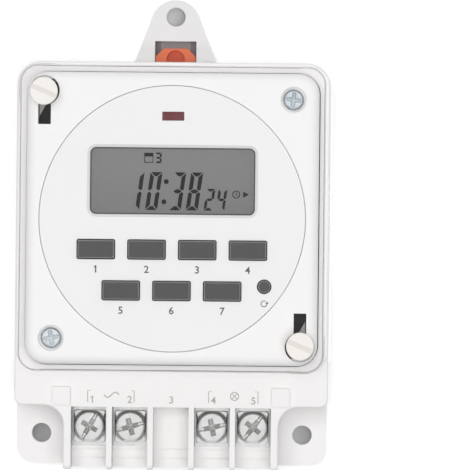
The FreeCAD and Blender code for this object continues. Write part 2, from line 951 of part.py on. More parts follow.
def clear_cover():
    body = new_body("clear_cover")
    brim_face = cover_back + s.cover_flange
    wall = s.cover_wall

    def brim(sketch):
        add_box(sketch, -cover_side, cover_side, -cover_level, cover_level, s.cover_round)

    def rear(inset, radius):
        def draw(sketch):
            reach, rise = cover_side - inset, cover_level - inset
            add_box(sketch, -reach, reach, -rise, rise, radius)
        return draw

    def front(inset, radius):
        def draw(sketch):
            reach, rise = cover_face_side - inset, cover_face_level - inset
            add_box(sketch, -reach, reach, -rise, rise, radius)
        return draw

    # finger ribs half way up both sides, from the wall to just past the brim
    step = s.grip_length / s.grip_count

    def grips(sketch):
        inner = cover_side - s.cover_brim - wall / 2
        outer = cover_side + s.grip_rise
        low = -s.grip_length / 2
        add_box(sketch, inner, outer, low, low + step / 2)
        add_box(sketch, -outer, -inner, low, low + step / 2)

    brim_round = s.cover_round - s.cover_brim
    slab(body, cover_back, brim_face, brim)
    first_grips = slab(body, cover_back, cover_back + s.grip_depth, grips)
    repeat(body, first_grips, "Z_Axis", s.grip_length - step, s.grip_count)
    loft_between(
        body, "AdditiveLoft",
        cover_back + s.cover_flange / 2, rear(s.cover_brim, brim_round),
        cover_front, front(0, s.cover_face_round),
    )
    soften(body, "Fillet", s.cover_edge, lambda edge: at_depth(edge, cover_front))
    loft_between(
        body, "SubtractiveLoft",
        cover_back, rear(s.cover_brim + wall, brim_round - wall),
        cover_inner, front(wall, s.cover_face_round - wall),
    )

    def at_locks(radius):
        def draw(sketch):
            for side_sign in (-1, 1):
                add_circle(sketch, side_sign * lock_side, -side_sign * lock_level, radius)
        return draw

    seat = cover_front - s.lock_sink
    cut(body, seat, cover_front + 1, at_locks(s.lock_head / 2 + s.lock_ring))
    cut(body, cover_inner - 1, seat + 1, at_locks(s.lock_neck / 2 + s.lock_play))
    return body


def cover_lock(label, side):
    """A quarter-turn fastener: slotted head, neck, snap collar, shaft and a one-sided, sloped bit."""
    body = new_body(label)
    x, z = side * lock_side, -side * lock_level
    seat = cover_front - s.lock_sink
    crown = seat + s.lock_head_rise
    collar_face = cover_inner - s.lock_collar_gap
    collar_back = collar_face - s.lock_collar_thick
    slab(body, seat, crown, lambda k: add_circle(k, x, z, s.lock_head / 2))
    soften(body, "Fillet", s.lock_soft, lambda edge: at_depth(edge, crown))
    slab(body, collar_back, seat + s.lock_soft, lambda k: add_circle(k, x, z, s.lock_neck / 2))
    slab(body, collar_back, collar_face, lambda k: add_circle(k, x, z, s.lock_neck / 2 + s.lock_collar))
    slab(body, bit_back, collar_back + s.lock_soft, lambda k: add_circle(k, x, z, s.lock_shaft / 2))

    def bit(sketch):
        half = side * s.bit_width / 2
        add_outline(sketch, [
            (x + half, z),
            (x - half, z),
            (x - half, z + side * s.bit_heel),
            (x + half, z + side * s.bit_reach),
        ])

    def slot(sketch):
        turn = math.radians(s.lock_slot_turn.number)
        along = (math.cos(turn), math.sin(turn))
        corners = []
        for run, rise in ((-1, -1), (1, -1), (1, 1), (-1, 1)):
            reach = s.lock_head * (0.6 * run)
            half = s.lock_slot * (0.5 * rise)
            corners.append((
                x + reach * along[0] - half * along[1],
                z + reach * along[1] + half * along[0],
            ))
        add_outline(sketch, corners)

    slab(body, bit_back, bit_face, bit)
    cut(body, crown - s.lock_slot_depth, crown + 1, slot)
    return body

# Rail latch and its spring


def din_latch():
    """A slider with a hooked nose for the rail, a slot for its spring and an eye to pull it by."""
    body = new_body("din_latch")
    half = s.latch_width / 2
    head = s.latch_head

    def plate(sketch):
        add_outline(sketch, [
            (-half, s.latch_nose),
            (half, s.latch_nose),
            (half, head - s.latch_chamfer),
            (half - s.latch_chamfer, head),
            (s.latch_chamfer - half, head),
            (-half, head - s.latch_chamfer),
        ])

    def nose(sketch):
        add_box(sketch, -half, half, s.latch_nose, nose_top)

    def spring_slot(sketch):
        add_box(sketch, -s.slot_width / 2, s.slot_width / 2, s.slot_foot, s.slot_head)

    def lead_in(edge):
        box = edge.BoundBox
        low = box.ZMax < s.latch_nose.number + 1e-4
        return low and at_depth(edge, s.latch_back)

    slab(body, s.latch_back, latch_face, plate)
    slab(body, latch_face - s.latch_thick / 2, rail_back - s.latch_play / 2, nose)
    soften(body, "Chamfer", s.latch_lead, lead_in)
    cut(body, s.latch_back - 1, latch_face + 1, spring_slot)
    eye_floor = s.latch_back + s.latch_eye_floor
    cut(body, eye_floor, latch_face + 1, lambda k: add_circle(k, 0, head - s.latch_eye_drop, s.latch_eye / 2))
    return body


def arc_through(start, tangent, stop):
    """The arc that leaves start along a tangent and ends at stop."""
    chord = stop - start
    turn = tangent.getAngle(chord)
    side = (chord.normalize() - tangent * math.cos(turn)).normalize()
    sagitta = (stop - start).Length / 2 * math.tan(turn / 2)
    middle = (start + stop) * 0.5
    across = (tangent * math.sin(turn) - side * math.cos(turn)).normalize()
    return Part.Arc(start, middle + across * sagitta, stop).toShape()


def latch_spring():
    """One unbroken coil: quarter turns of a rising helix, each one a pair of tangent arcs."""
    wire = s.spring_wire.number
    turns = s.spring_turns.number
    radius = (s.spring_width.number - wire) / 2
    depth = (s.latch_back.number + latch_face.number) / 2
    foot = s.slot_foot.number + s.spring_seat.number + wire / 2
    head = peg_foot.number - s.spring_seat.number - wire / 2
    pitch = (head - foot) / turns

    def point(angle):
        rise = foot + pitch * angle / (2 * math.pi)
        return Vector(radius * math.cos(angle), -depth + radius * math.sin(angle), rise)

    def heading(angle):
        along = Vector(-radius * math.sin(angle), radius * math.cos(angle), pitch / (2 * math.pi))
        return along.normalize()

    edges = []
    count = int(round(turns * 4))
    for number in range(count):
        angle, after = number * math.pi / 2, (number + 1) * math.pi / 2
        start, stop = point(angle), point(after)
        out, into = heading(angle), heading(after)
        span, both = stop - start, out + into
        bend = 2 * (1 - out.dot(into))
        reach = (-span.dot(both) + math.sqrt(span.dot(both) ** 2 + bend * span.dot(span))) / bend
        joint = (start + stop + (out - into) * reach) * 0.5
        meet = (joint - (start + out * reach)).normalize()
        edges.append(arc_through(start, out, joint))
        edges.append(arc_through(joint, meet, stop))
    path = Part.Wire(edges)
    ring = Part.Wire([Part.Circle(point(0), heading(0), wire / 2).toShape()])
    coil = path.makePipeShell([ring], True, False)
    item = document.addObject("Part::Feature", "latch_spring")
    item.Label = "latch_spring"
    item.Shape = coil
    item.Placement = FreeCAD.Placement()
    print("latch_spring: least gap between turns %.2f" % (pitch - wire))
    return item


# Display stack behind the dial


def lcd_glass():
    body = new_body("lcd_glass")
    wide, high = s.lcd_width + 2 * s.glass_margin, s.lcd_height + 2 * s.glass_margin
    slab(body, glass_back, glass_face, lambda k: add_centred(k, 0, s.lcd_level, wide, high))
    return body


def lcd_holder():
    body = new_body("lcd_holder")
    wide = s.lcd_width + 2 * s.glass_margin + 2 * s.holder_play
    high = s.lcd_height + 2 * s.glass_margin + 2 * s.holder_play
    wall = 2 * s.holder_wall
    slab(body, display_seat, glass_face, lambda k: add_centred(k, 0, s.lcd_level, wide + wall, high + wall))
    cut(body, display_seat - 1, glass_face + 1, lambda k: add_centred(k, 0, s.lcd_level, wide, high))
    return body


def zebra_strip(label, side):
    """The rubber strip that joins the glass to the board along one long edge."""
    body = new_body(label)
    edge = s.lcd_level + side * (s.lcd_height / 2 + s.glass_margin - s.zebra_depth / 2)
    slab(body, display_seat, glass_back, lambda k: add_centred(k, 0, edge, s.lcd_width, s.zebra_depth))
    return body


def key_mat():
    """One sheet of silicone with a dome under every key."""
    body = new_body("key_mat")
    reach = display_radius
    upper = -s.key_row_upper + s.key_height / 2 + s.mat_margin
    lower = -mat_foot
    seat = display_seat
    slab(body, seat, mat_face, lambda k: add_circle(k, 0, 0, reach - s.mat_inset))
    cut(body, seat - 1, mat_face + 1, lambda k: add_box(k, -reach, reach, upper, reach))
    cut(body, seat - 1, mat_face + 1, lambda k: add_box(k, -reach, reach, -reach, lower))
    for x, z in KEY_PLACES.values():
        slab(body, mat_face, dome_face, lambda k, x=x, z=z: add_circle(k, x, z, s.dome_foot), -s.dome_draft)
    slab(body, mat_face, dome_face, lambda k: add_circle(k, *RESET_PLACE, s.reset_diameter / 2), -s.dome_draft)
    return body


def display_board():
    body = new_body("display_board")
    slab(body, display_back, display_seat, lambda k: add_circle(k, 0, 0, display_radius))
    for x, z in PILLARS:
        radius = s.small_shank / 2 + s.small_play
        cut(body, display_back - 1, display_seat + 1, lambda k, x=x, z=z: add_circle(k, x, z, radius))
    return body


def status_led():
    body = new_body("status_led")
    crown = ledge_face - s.led_flange - s.led_drop
    radius = s.led_diameter / 2
    slab(body, display_seat, crown, lambda k: add_circle(k, 0, s.led_level, radius))
    soften(body, "Fillet", radius * 0.9, lambda edge: at_depth(edge, crown))
    slab(body, display_seat, display_seat + s.led_foot, lambda k: add_circle(k, 0, s.led_level, radius + s.led_foot / 3))
    return body


def controller_chip():
    body = new_body("controller_chip")
    back = display_back - s.chip_thick
    slab(body, back, display_back, lambda k: add_centred(k, s.chip_side, s.chip_level, s.chip_width, s.chip_width))
    soften(body, "Chamfer", s.chip_thick / 4, lambda edge: at_depth(edge, back))
    return body


def backup_battery():
    body = new_body("backup_battery")
    back = display_back - s.cell_thick
    x, z = -s.chip_side, s.chip_level
    slab(body, back, display_back, lambda k: add_circle(k, x, z, s.cell_diameter / 2))
    soften(body, "Fillet", s.cell_thick / 4, lambda edge: at_depth(edge, back))
    return body


def turned_cylinder(label, radius, length, place, axis):
    """A plain cylinder from its end point along an axis, tied to the sheet."""
    item = document.addObject("Part::Cylinder", label)
    item.Label = label
    bind(item, "Radius", radius)
    bind(item, "Height", length)
    item.Placement = FreeCAD.Placement(Vector(0, 0, 0), FreeCAD.Rotation(Vector(0, 0, 1), axis))
    for name, value in zip(("x", "y", "z"), place):
        value = as_size(value)
        item.setExpression("Placement.Base." + name, value.formula)
    document.recompute()
    return item


def quartz_crystal():
    radius = s.crystal_diameter / 2
    start = (-s.crystal_length / 2, -(display_back - radius), -s.chip_level)
    return turned_cylinder("quartz_crystal", radius, s.crystal_length, start, Vector(1, 0, 0))


# Power board and what it carries


def power_board():
    body = new_body("power_board")
    slab(body, s.power_seat, power_face, lambda k: add_centred(k, 0, 0, s.power_width, s.power_height))
    for x, z in BEARERS:
        radius = s.small_shank / 2 + s.small_play
        cut(body, s.power_seat - 1, power_face + 1, lambda k, x=x, z=z: add_circle(k, x, z, radius))
    return body


def block_part(label, x, z, wide, high, rise, edge):
    """A box-shaped component that stands on the power board, its front edges softened."""
    body = new_body(label)
    top = power_face + rise
    slab(body, power_face, top, lambda k: add_centred(k, x, z, wide, high))
    soften(body, "Fillet", edge, lambda e: at_depth(e, top))
    return body


def electrolytic_capacitor():
    body = new_body("electrolytic_capacitor")
    top = power_face + s.can_rise
    slab(body, power_face, top, lambda k: add_circle(k, -s.can_side, -s.can_level, s.can_diameter / 2))
    soften(body, "Fillet", s.can_diameter / 10, lambda edge: at_depth(edge, top))
    return body


def varistor():
    """A disc that stands on edge, with its two leads in one piece with it."""
    radius = s.disc_diameter / 2
    centre = power_face + s.disc_leg + radius
    x, z = s.disc_side, s.disc_level
    disc = turned_cylinder("varistor_disc", radius, s.disc_thick, (x - s.disc_thick / 2, -centre, z), Vector(1, 0, 0))
    parts = [disc]
    for side in (-1, 1):
        leg_top = (x, -power_face, z + side * radius / 2)
        leg = turned_cylinder("varistor_leg", s.disc_leg / 4, s.disc_leg + radius, leg_top, Vector(0, -1, 0))
        parts.append(leg)
    whole = document.addObject("Part::MultiFuse", "varistor")
    whole.Label = "varistor"
    whole.Shapes = parts
    document.recompute()
    return whole


def board_link():
    """A pin header that joins the two boards."""
    body = new_body("board_link")
    wide = s.pin_pitch * s.pin_count
    slab(body, power_face, power_face + s.pin_pitch, lambda k: add_centred(k, 0, s.link_level, wide, s.pin_pitch))
    first = -s.pin_pitch * (s.pin_count - 1) / 2
    pin = slab(body, power_face + s.pin_pitch / 2, display_back,
               lambda k: add_centred(k, first, s.link_level, s.pin_side, s.pin_side))
    repeat(body, pin, "X_Axis", s.pin_pitch * (s.pin_count - 1), s.pin_count)
    return body


# Terminal hardware and screws


def terminal_plate(number):
    """A plate on the cell's floor whose tongue runs inside and turns down to the power board."""
    body = new_body("terminal_plate_%d" % number)
    middle = CELLS[number] * s.cell_pitch
    foot = -plate_top - s.plate_height
    inner = -s.power_height / 2 + s.tongue_inset

    def plate(sketch):
        add_box(sketch, middle - plate_width / 2, middle + plate_width / 2, foot, -plate_top)

    def tongue(sketch):
        half = s.tongue_width / 2
        add_box(sketch, middle - half, middle + half, -plate_top - 1, inner)

    def leg(sketch):
        half = s.tongue_width / 2
        add_box(sketch, middle - half, middle + half, inner - s.plate_thick, inner)

    slab(body, s.cell_floor, plate_face, plate)
    slab(body, s.cell_floor, plate_face, tongue)
    slab(body, power_face, s.cell_floor + s.plate_thick / 2, leg)
    cut(body, s.cell_floor - 1, plate_face + 1, lambda k: add_circle(k, middle, -s.screw_level, s.thread / 2))
    return body


def clamp_washer(number):
    """A square washer that rises with its screw to let a wire in."""
    body = new_body("clamp_washer_%d" % number)
    middle = CELLS[number] * s.cell_pitch
    side = washer_side
    slab(body, washer_back, washer_face, lambda k: add_centred(k, middle, -s.screw_level, side, side, s.washer_round))
    bore = s.thread / 2 + s.thread_play
    cut(body, washer_back - 1, washer_face + 1, lambda k: add_circle(k, middle, -s.screw_level, bore))
    return body


def cross_recess(body, x, z, span, crown, back):
    """The cross that a screwdriver fits, cut into a head."""
    half = span / 2
    arm = span * 0.14

    def cross(sketch):
        corners = [
            (arm, half), (-arm, half), (-arm, arm), (-half, arm),
            (-half, -arm), (-arm, -arm), (-arm, -half), (arm, -half),
            (arm, -arm), (half, -arm), (half, arm), (arm, arm),
        ]
        add_outline(sketch, [(x + a, z + b) for a, b in corners])

    low, high = (crown - back, crown + 1) if back.number > 0 else (crown - 1, crown - back)
    cut(body, low, high, cross)


def headed_screw(label, x, z, head_back, head_diameter, head_rise, shank_diameter, length, soft):
    """A pan-head screw that enters from the front."""
    body = new_body(label)
    crown = head_back + head_rise
    slab(body, head_back, crown, lambda k: add_circle(k, x, z, head_diameter / 2))
    soften(body, "Fillet", soft, lambda edge: at_depth(edge, crown))
    tip = head_back - length
    slab(body, tip, head_back + head_rise / 4, lambda k: add_circle(k, x, z, shank_diameter / 2))
    cross_recess(body, x, z, head_diameter * 0.55, crown, head_rise * 0.5)
    return body


def rear_screw(label, x, z, seat):
    """A small pan-head screw that enters a pillar from behind the board."""
    body = new_body(label)
    back = seat - s.small_head_rise
    slab(body, back, seat, lambda k: add_circle(k, x, z, s.small_head / 2))
    soften(body, "Fillet", s.small_head_rise / 3, lambda edge: at_depth(edge, back))
    tip = seat + s.board_thick + s.small_length - s.small_tip
    slab(body, seat - s.small_head_rise / 4, tip, lambda k: add_circle(k, x, z, s.small_shank / 2))
    cross_recess(body, x, z, s.small_head * 0.55, back, -s.small_head_rise * 0.5)
    return body


def build_all():
    """Every sub-part, each under the label that names its file."""
    pieces = [base_housing(), front_panel(), dial_face(), led_lens(), clear_cover()]
    pieces += [cover_lock("cover_lock_upper", -1), cover_lock("cover_lock_lower", 1)]
    pieces += [din_latch(), latch_spring()]
    pieces += [key(label, x, z) for label, (x, z) in KEY_PLACES.items()]
    pieces += [key_reset(), key_mat(), lcd_glass(), lcd_holder()]
    pieces += [zebra_strip("zebra_strip_upper", 1), zebra_strip("zebra_strip_lower", -1)]
    pieces += [display_board(), status_led(), controller_chip(), backup_battery(), quartz_crystal()]
    pieces += [power_board(), varistor(), electrolytic_capacitor(), board_link()]
    pieces.append(block_part("relay", s.relay_side, -s.relay_level, s.relay_width, s.relay_height,
                             s.relay_rise, s.relay_edge))
    pieces.append(block_part("film_capacitor", -s.film_side, s.film_level, s.film_width, s.film_height,
                             s.film_rise, s.film_edge))
    for number in WIRED_CELLS:
        middle = CELLS[number] * s.cell_pitch
        pieces.append(terminal_plate(number))
        pieces.append(clamp_washer(number))
        pieces.append(headed_screw(
            "terminal_screw_%d" % number, middle, -s.screw_level, head_back, s.screw_head,
            s.screw_head_rise, s.thread - 2 * s.thread_play, s.screw_reach, s.screw_soft,
        ))
    for name, side in PANEL_SCREWS.items():
        pieces.append(headed_screw(
            "panel_screw_" + name, side * screw_side, side * screw_rise, panel_face - s.well_depth, s.panel_screw_head,
            s.panel_screw_rise, s.panel_screw_shank, s.panel_screw_length, s.panel_screw_soft,
        ))
    for number, (x, z) in enumerate(PILLARS, start=1):
        pieces.append(rear_screw("display_screw_%d" % number, x, z, display_back))
    for number, (x, z) in enumerate(BEARERS, start=1):
        pieces.append(headed_screw(
            "power_screw_%d" % number, x, z, power_face, s.small_head,
            s.small_head_rise, s.small_shank, s.board_thick + s.small_reach, s.small_head_rise / 3,
        ))
    return pieces


def write_all(pieces):
    document.recompute()
    for item in document.Objects:
        if "Invalid" in item.State or "Error" in item.State:
            raise ValueError("%s failed: %s" % (item.Name, item.getStatusString()))
    for piece in pieces:
        if piece.Shape.isNull() or not piece.Shape.isValid():
            raise ValueError("%s has no valid shape" % piece.Label)
    os.makedirs("parts", exist_ok=True)
    for piece in pieces:
        piece.Shape.exportStep("parts/%s.step" % piece.Label)


write_all(build_all())
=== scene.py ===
"""A digital weekly timer for a rail or a wall, dressed in Blender on its CAD frame.

The frame brings the moulded parts, the screws and the joints, all in metres: X to the right, Z up,
and the front looks along -Y. This lesson adds what a moulder or a printer adds: the finish of each
material, the printed numerals, the segments of the display, the coil of the latch spring and the
turned heads of the screws. New surfaces are numpy grids and outlines, each with its formula in its
docstring; only the numerals start from a typeface.
"""

# %% [markdown]
# The frame comes first. Everything that the CAD model fixes, such as where a key sits and how far
# it moves, is read from it, so nothing here has to be fitted by eye.

import math

import bmesh
import bpy
import numpy as np
from mathutils import Matrix, Vector


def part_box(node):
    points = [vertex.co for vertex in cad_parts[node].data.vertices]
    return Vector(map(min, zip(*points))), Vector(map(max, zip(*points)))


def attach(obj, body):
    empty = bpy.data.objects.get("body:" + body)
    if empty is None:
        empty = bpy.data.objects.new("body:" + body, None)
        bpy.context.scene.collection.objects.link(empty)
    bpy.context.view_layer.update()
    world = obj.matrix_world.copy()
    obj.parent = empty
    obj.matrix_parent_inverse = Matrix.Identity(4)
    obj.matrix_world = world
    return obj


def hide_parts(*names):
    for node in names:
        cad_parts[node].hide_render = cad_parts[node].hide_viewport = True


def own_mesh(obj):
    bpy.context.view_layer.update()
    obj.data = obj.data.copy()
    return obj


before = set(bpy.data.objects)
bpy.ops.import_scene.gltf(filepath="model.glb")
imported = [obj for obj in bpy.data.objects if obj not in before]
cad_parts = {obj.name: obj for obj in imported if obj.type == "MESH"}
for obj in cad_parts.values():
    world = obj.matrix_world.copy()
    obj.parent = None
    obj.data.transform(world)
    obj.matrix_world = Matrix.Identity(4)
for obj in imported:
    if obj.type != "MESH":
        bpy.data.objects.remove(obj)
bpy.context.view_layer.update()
MM = 0.001


def corners(node):
    """Lowest and highest corner of a node, in millimetres."""
    low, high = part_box(node)
    return np.array(low) / MM, np.array(high) / MM


def seat(node):
    """A node's middle (x, z), half width, and how far its front and back stand off the wall, in mm."""
    low, high = corners(node)
    return ((low[0] + high[0]) / 2, (low[2] + high[2]) / 2), (high[0] - low[0]) / 2, -low[1], -high[1]


# %% [markdown]
# The camera stands far away, so that the timer is seen almost without perspective, as a product
# photographer does with a long lens. Its distance follows from how much the clear cover, which
# stands 52 mm in front of the ears, seems to shift against them. The picture is rolled by a little
# over half a degree.

# %% Camera
CAMERA_AWAY = 1450.0
CAMERA_SIDE, CAMERA_LEVEL = 15.4, -3.8
CAMERA_ROLL = math.radians(0.6)
FRAME_WIDTH = 118.7
camera_data = bpy.data.cameras.new("view")
camera_data.lens = camera_data.sensor_width * CAMERA_AWAY / FRAME_WIDTH
camera_data.clip_end = 20.0
camera = bpy.data.objects.new("view", camera_data)
UPRIGHT = Matrix.Rotation(math.pi / 2, 4, "X")
stand = Matrix.Translation((CAMERA_SIDE * MM, -CAMERA_AWAY * MM, CAMERA_LEVEL * MM))
camera.matrix_world = stand @ UPRIGHT @ Matrix.Rotation(CAMERA_ROLL, 4, "Z")
bpy.context.collection.objects.link(camera)
bpy.context.scene.camera = camera
# Standard shows a colour as it is written, with no film curve over it.
bpy.context.scene.view_settings.view_transform = "Standard"
print("lens %.0f mm" % camera_data.lens)

# %% [markdown]
# Most new pieces are grids: a table of points whose rows run one way and whose columns run the
# other. Numpy fills the table in one step, and the faces follow from the row and column numbers.
# A grid can be closed into a ring in one or both directions. Whether its faces look outwards is
# read from its volume, which comes out negative when they look inwards.

# %% Grids into meshes
COLLECTION = bpy.context.scene.collection


def grid_faces(rows, columns, ring_rows=False):
    """Quads of a grid with its columns in a ring: (r, c) is joined to (r, c+1), (r+1, c+1) and (r+1, c)."""
    r = np.arange(rows if ring_rows else rows - 1)[:, None]
    c = np.arange(columns)[None, :]
    low, high = r * columns, (r + 1) % rows * columns
    after = (c + 1) % columns
    return np.stack([low + c, low + after, high + after, high + c], axis=-1).reshape(-1, 4)


def tube(points, rows, columns):
    """An open tube with a middle point added for each end: its points, its quads and its end triangles."""
    last = (rows - 1) * columns
    points = np.vstack([points, points[:columns].mean(axis=0), points[last:].mean(axis=0)])
    c = np.arange(columns)
    after = (c + 1) % columns
    head = np.stack([np.full(columns, rows * columns), after, c], axis=-1)
    tail = np.stack([np.full(columns, rows * columns + 1), last + c, last + after], axis=-1)
    return points, [grid_faces(rows, columns), np.vstack([head, tail])]


def signed_volume(points, faces):
    """A sixth of the sum of a . (b x c) over the triangles that fan out from each face's first corner."""
    total = 0.0
    for second in range(1, faces.shape[1] - 1):
        a, b, c = points[faces[:, 0]], points[faces[:, second]], points[faces[:, second + 1]]
        total += np.einsum("ij,ij->i", a, np.cross(b, c)).sum() / 6
    return total


def outwards(points, tables):
    """The points with their tables of faces, turned over if the volume is negative."""
    volume = sum(signed_volume(points - points.mean(axis=0), faces) for faces in tables)
    return points, [faces[:, ::-1] if volume < 0 else faces for faces in tables]


def mesh_data(name, points, tables, smooth=True):
    """A mesh from points in mm and tables of faces, each table with one number of corners."""
    points, tables = outwards(np.asarray(points, float).reshape(-1, 3), tables)
    mesh = bpy.data.meshes.new(name)
    mesh.from_pydata((points * MM).tolist(), [], [face for faces in tables for face in faces.tolist()])
    mesh.polygons.foreach_set("use_smooth", np.full(len(mesh.polygons), smooth))
    mesh.update()
    return mesh


def placed(mesh, material, body=None):
    """An object at the origin that shows a mesh in one material and rides a body of the frame."""
    mesh.materials.append(material)
    item = bpy.data.objects.new(mesh.name, mesh)
    COLLECTION.objects.link(item)
    if body:
        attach(item, body)
    return item


def smooth_step(low, high, value):
    """0 below low, 1 above high, and 3t^2 - 2t^3 between them."""
    t = np.clip((value - low) / (high - low), 0.0, 1.0)
    return t * t * (3 - 2 * t)


# %% [markdown]
# Two effects are shared by many finishes, so each is a node group that is built once. The first is
# the skin of a moulding: a fine spark-eroded texture, and very slow changes of tone where the melt
# flowed and where hands touch it. The second is a plated or polished metal: fine scratches that run
# one way, small pits and a faint change of colour in the plating. A group only gives colours,
# values and a height; the shader that uses them stays in each material.

# %% Node helpers


def add_node(tree, kind, **settings):
    """A node with its plain settings."""
    node = tree.nodes.new(kind)
    for name, value in settings.items():
        setattr(node, name, value)
    return node


def feed(tree, inputs, values):
    """Give named or numbered inputs their values: a link from another socket, or a constant."""
    for label, value in values.items():
        if isinstance(value, bpy.types.NodeSocket):
            tree.links.new(value, inputs[label])
        else:
            inputs[label].default_value = value


def place_on(tree):
    """Object coordinates: where on its piece a point lies, in metres."""
    return add_node(tree, "ShaderNodeTexCoord").outputs["Object"]


def along(tree, where, axis):
    """One coordinate of a place."""
    parts = add_node(tree, "ShaderNodeSeparateXYZ")
    tree.links.new(where, parts.inputs[0])
    return parts.outputs[axis]


def noise(tree, where, scale, detail=2.0, rough=0.5):
    """Noise over a piece; a larger scale makes it finer."""
    node = add_node(tree, "ShaderNodeTexNoise")
    feed(tree, node.inputs, {"Vector": where, "Scale": scale, "Detail": detail, "Roughness": rough})
    return node.outputs["Fac"]


def math_node(tree, operation, first, second):
    """One sum on two values, each a socket or a number."""
    node = add_node(tree, "ShaderNodeMath", operation=operation)
    feed(tree, node.inputs, {0: first, 1: second})
    return node.outputs[0]


def mapped(tree, value, ends):
    """Carry a value from one range to another; ends names the ends that aren't 0 and 1."""
    node = add_node(tree, "ShaderNodeMapRange")
    feed(tree, node.inputs, {"Value": value, **ends})
    return node.outputs["Result"]


def spread(tree, value, low, high):
    """Carry a value from 0..1 to low..high; the ends are sockets or numbers."""
    return mapped(tree, value, {"To Min": low, "To Max": high})


def ramp(tree, value, low, high):
    """0 below low, 1 above high, and even between them; low and high are in mm."""
    return mapped(tree, value, {"From Min": low * MM, "From Max": high * MM})


def beyond_box(tree, where, low, high):
    """The distance of a point from a box with two corners in mm: 0 inside it.

    It is the length of |p - centre| less half the size, with what lies below 0 taken as 0.
    """
    low, high = np.array(low, float) * MM, np.array(high, float) * MM
    steps = [("SUBTRACT", (low + high) / 2), ("ABSOLUTE", None), ("SUBTRACT", (high - low) / 2),
             ("MAXIMUM", (0, 0, 0)), ("LENGTH", None)]
    for operation, value in steps:
        node = add_node(tree, "ShaderNodeVectorMath", operation=operation)
        tree.links.new(where, node.inputs[0])
        if value is not None:
            node.inputs[1].default_value = value
        where = node.outputs["Value" if operation == "LENGTH" else "Vector"]
    return where


def mixed(tree, mask, first, second):
    """Blend two colours by a mask; each colour is a socket or its numbers."""
    node = add_node(tree, "ShaderNodeMix", data_type="RGBA")
    ends = [end if isinstance(end, bpy.types.NodeSocket) else (*end[:3], 1) for end in (first, second)]
    feed(tree, node.inputs, {"Factor": mask, 6: ends[0], 7: ends[1]})
    return node.outputs[2]


def bumped(tree, shader, height, relief, strength):
    """Bend a shader's normal by a height; relief is its depth in millimetres."""
    bump = add_node(tree, "ShaderNodeBump")
    feed(tree, bump.inputs, {"Height": height, "Distance": relief * MM, "Strength": strength})
    tree.links.new(bump.outputs["Normal"], shader.inputs["Normal"])


def either_shader(tree, share, first, second, output):
    """Show the first shader where share is 0 and the second where it is 1."""
    blend = add_node(tree, "ShaderNodeMixShader")
    feed(tree, blend.inputs, {0: share, 1: first.outputs[0], 2: second.outputs[0]})
    tree.links.new(blend.outputs[0], output.inputs["Surface"])


def start_group(name, inputs):
    """An empty node group with named inputs that gives a colour, a roughness and a height."""
    group = bpy.data.node_groups.new(name, "ShaderNodeTree")
    for label, value in inputs.items():
        kind = "NodeSocketFloat" if isinstance(value, float) else "NodeSocketColor"
        group.interface.new_socket(label, in_out="INPUT", socket_type=kind).default_value = value
    for label, kind in (("Colour", "Color"), ("Roughness", "Float"), ("Height", "Float")):
        group.interface.new_socket(label, in_out="OUTPUT", socket_type="NodeSocket" + kind)
    return group, add_node(group, "NodeGroupInput").outputs, add_node(group, "NodeGroupOutput").inputs


# %% The skin of a moulding and the face of a plated metal


def moulded_skin():
    """Colour = base times slow noise; roughness = base plus middle noise; height = fine noise."""
    group, given, result = start_group("moulded skin", {
        "Colour": (0.8, 0.8, 0.8, 1), "Variation": 0.03, "Roughness": 0.4, "Grain": 9000.0})
    where = place_on(group)
    darkest = math_node(group, "SUBTRACT", 1.0, given["Variation"])
    scaled = add_node(group, "ShaderNodeVectorMath", operation="SCALE")
    tone = spread(group, noise(group, where, scale=22.0, detail=3.0), darkest, 1.0)
    feed(group, scaled.inputs, {0: given["Colour"], "Scale": tone})
    lower = math_node(group, "SUBTRACT", given["Roughness"], 0.05)
    upper = math_node(group, "ADD", given["Roughness"], 0.05)
    rough = spread(group, noise(group, where, scale=260.0), lower, upper)
    fine = noise(group, where, given["Grain"], detail=1.0)
    feed(group, result, {"Colour": scaled.outputs[0], "Roughness": rough, "Height": fine})
    return group


def plated_metal():
    """Scratches are noise drawn out along one way; the plating's tint follows slow noise."""
    group, given, result = start_group("plated metal", {
        "Bright": (0.8, 0.8, 0.8, 1), "Dull": (0.5, 0.5, 0.4, 1), "Roughness": 0.2})
    where = place_on(group)
    drawn_out = add_node(group, "ShaderNodeMapping")
    feed(group, drawn_out.inputs, {"Vector": where, "Scale": (1.0, 1.0, 0.03), "Rotation": (0.0, 0.5, 0.0)})
    scratches = noise(group, drawn_out.outputs[0], scale=4200.0, detail=4.0, rough=0.7)
    pits = noise(group, where, scale=1500.0, detail=3.0)
    tint = spread(group, noise(group, where, scale=330.0, detail=3.0, rough=0.6), -0.6, 1.4)
    rough = math_node(group, "ADD", given["Roughness"], spread(group, pits, -0.08, 0.14))
    feed(group, result, {"Colour": mixed(group, tint, given["Bright"], given["Dull"]), "Roughness": rough,
                         "Height": math_node(group, "ADD", scratches, pits)})
    return group


SKIN = moulded_skin()
PLATING = plated_metal()
print("shared effects:", len(bpy.data.node_groups))

# %% Two kinds of finish
SKIN_STRENGTH, PLATING_STRENGTH = 0.6, 0.5


def blank_material(name):
    """A new material, its tree and its Principled shader."""
    material = bpy.data.materials.new(name)
    material.use_nodes = True
    return material, material.node_tree, material.node_tree.nodes["Principled BSDF"]


def set_shader(material, label, value):
    """Set a constant on the material's own Principled shader."""
    material.node_tree.nodes["Principled BSDF"].inputs[label].default_value = value


def finish(name, group, relief, strength, values):
    """A material whose shader takes colour, roughness and bump from a group; relief is in mm."""
    material, tree, shader = blank_material(name)
    effect = add_node(tree, "ShaderNodeGroup", node_tree=group)
    feed(tree, effect.inputs, values)
    given = effect.outputs
    feed(tree, shader.inputs, {"Base Color": given["Colour"], "Roughness": given["Roughness"]})
    bumped(tree, shader, given["Height"], relief, strength)
    return material


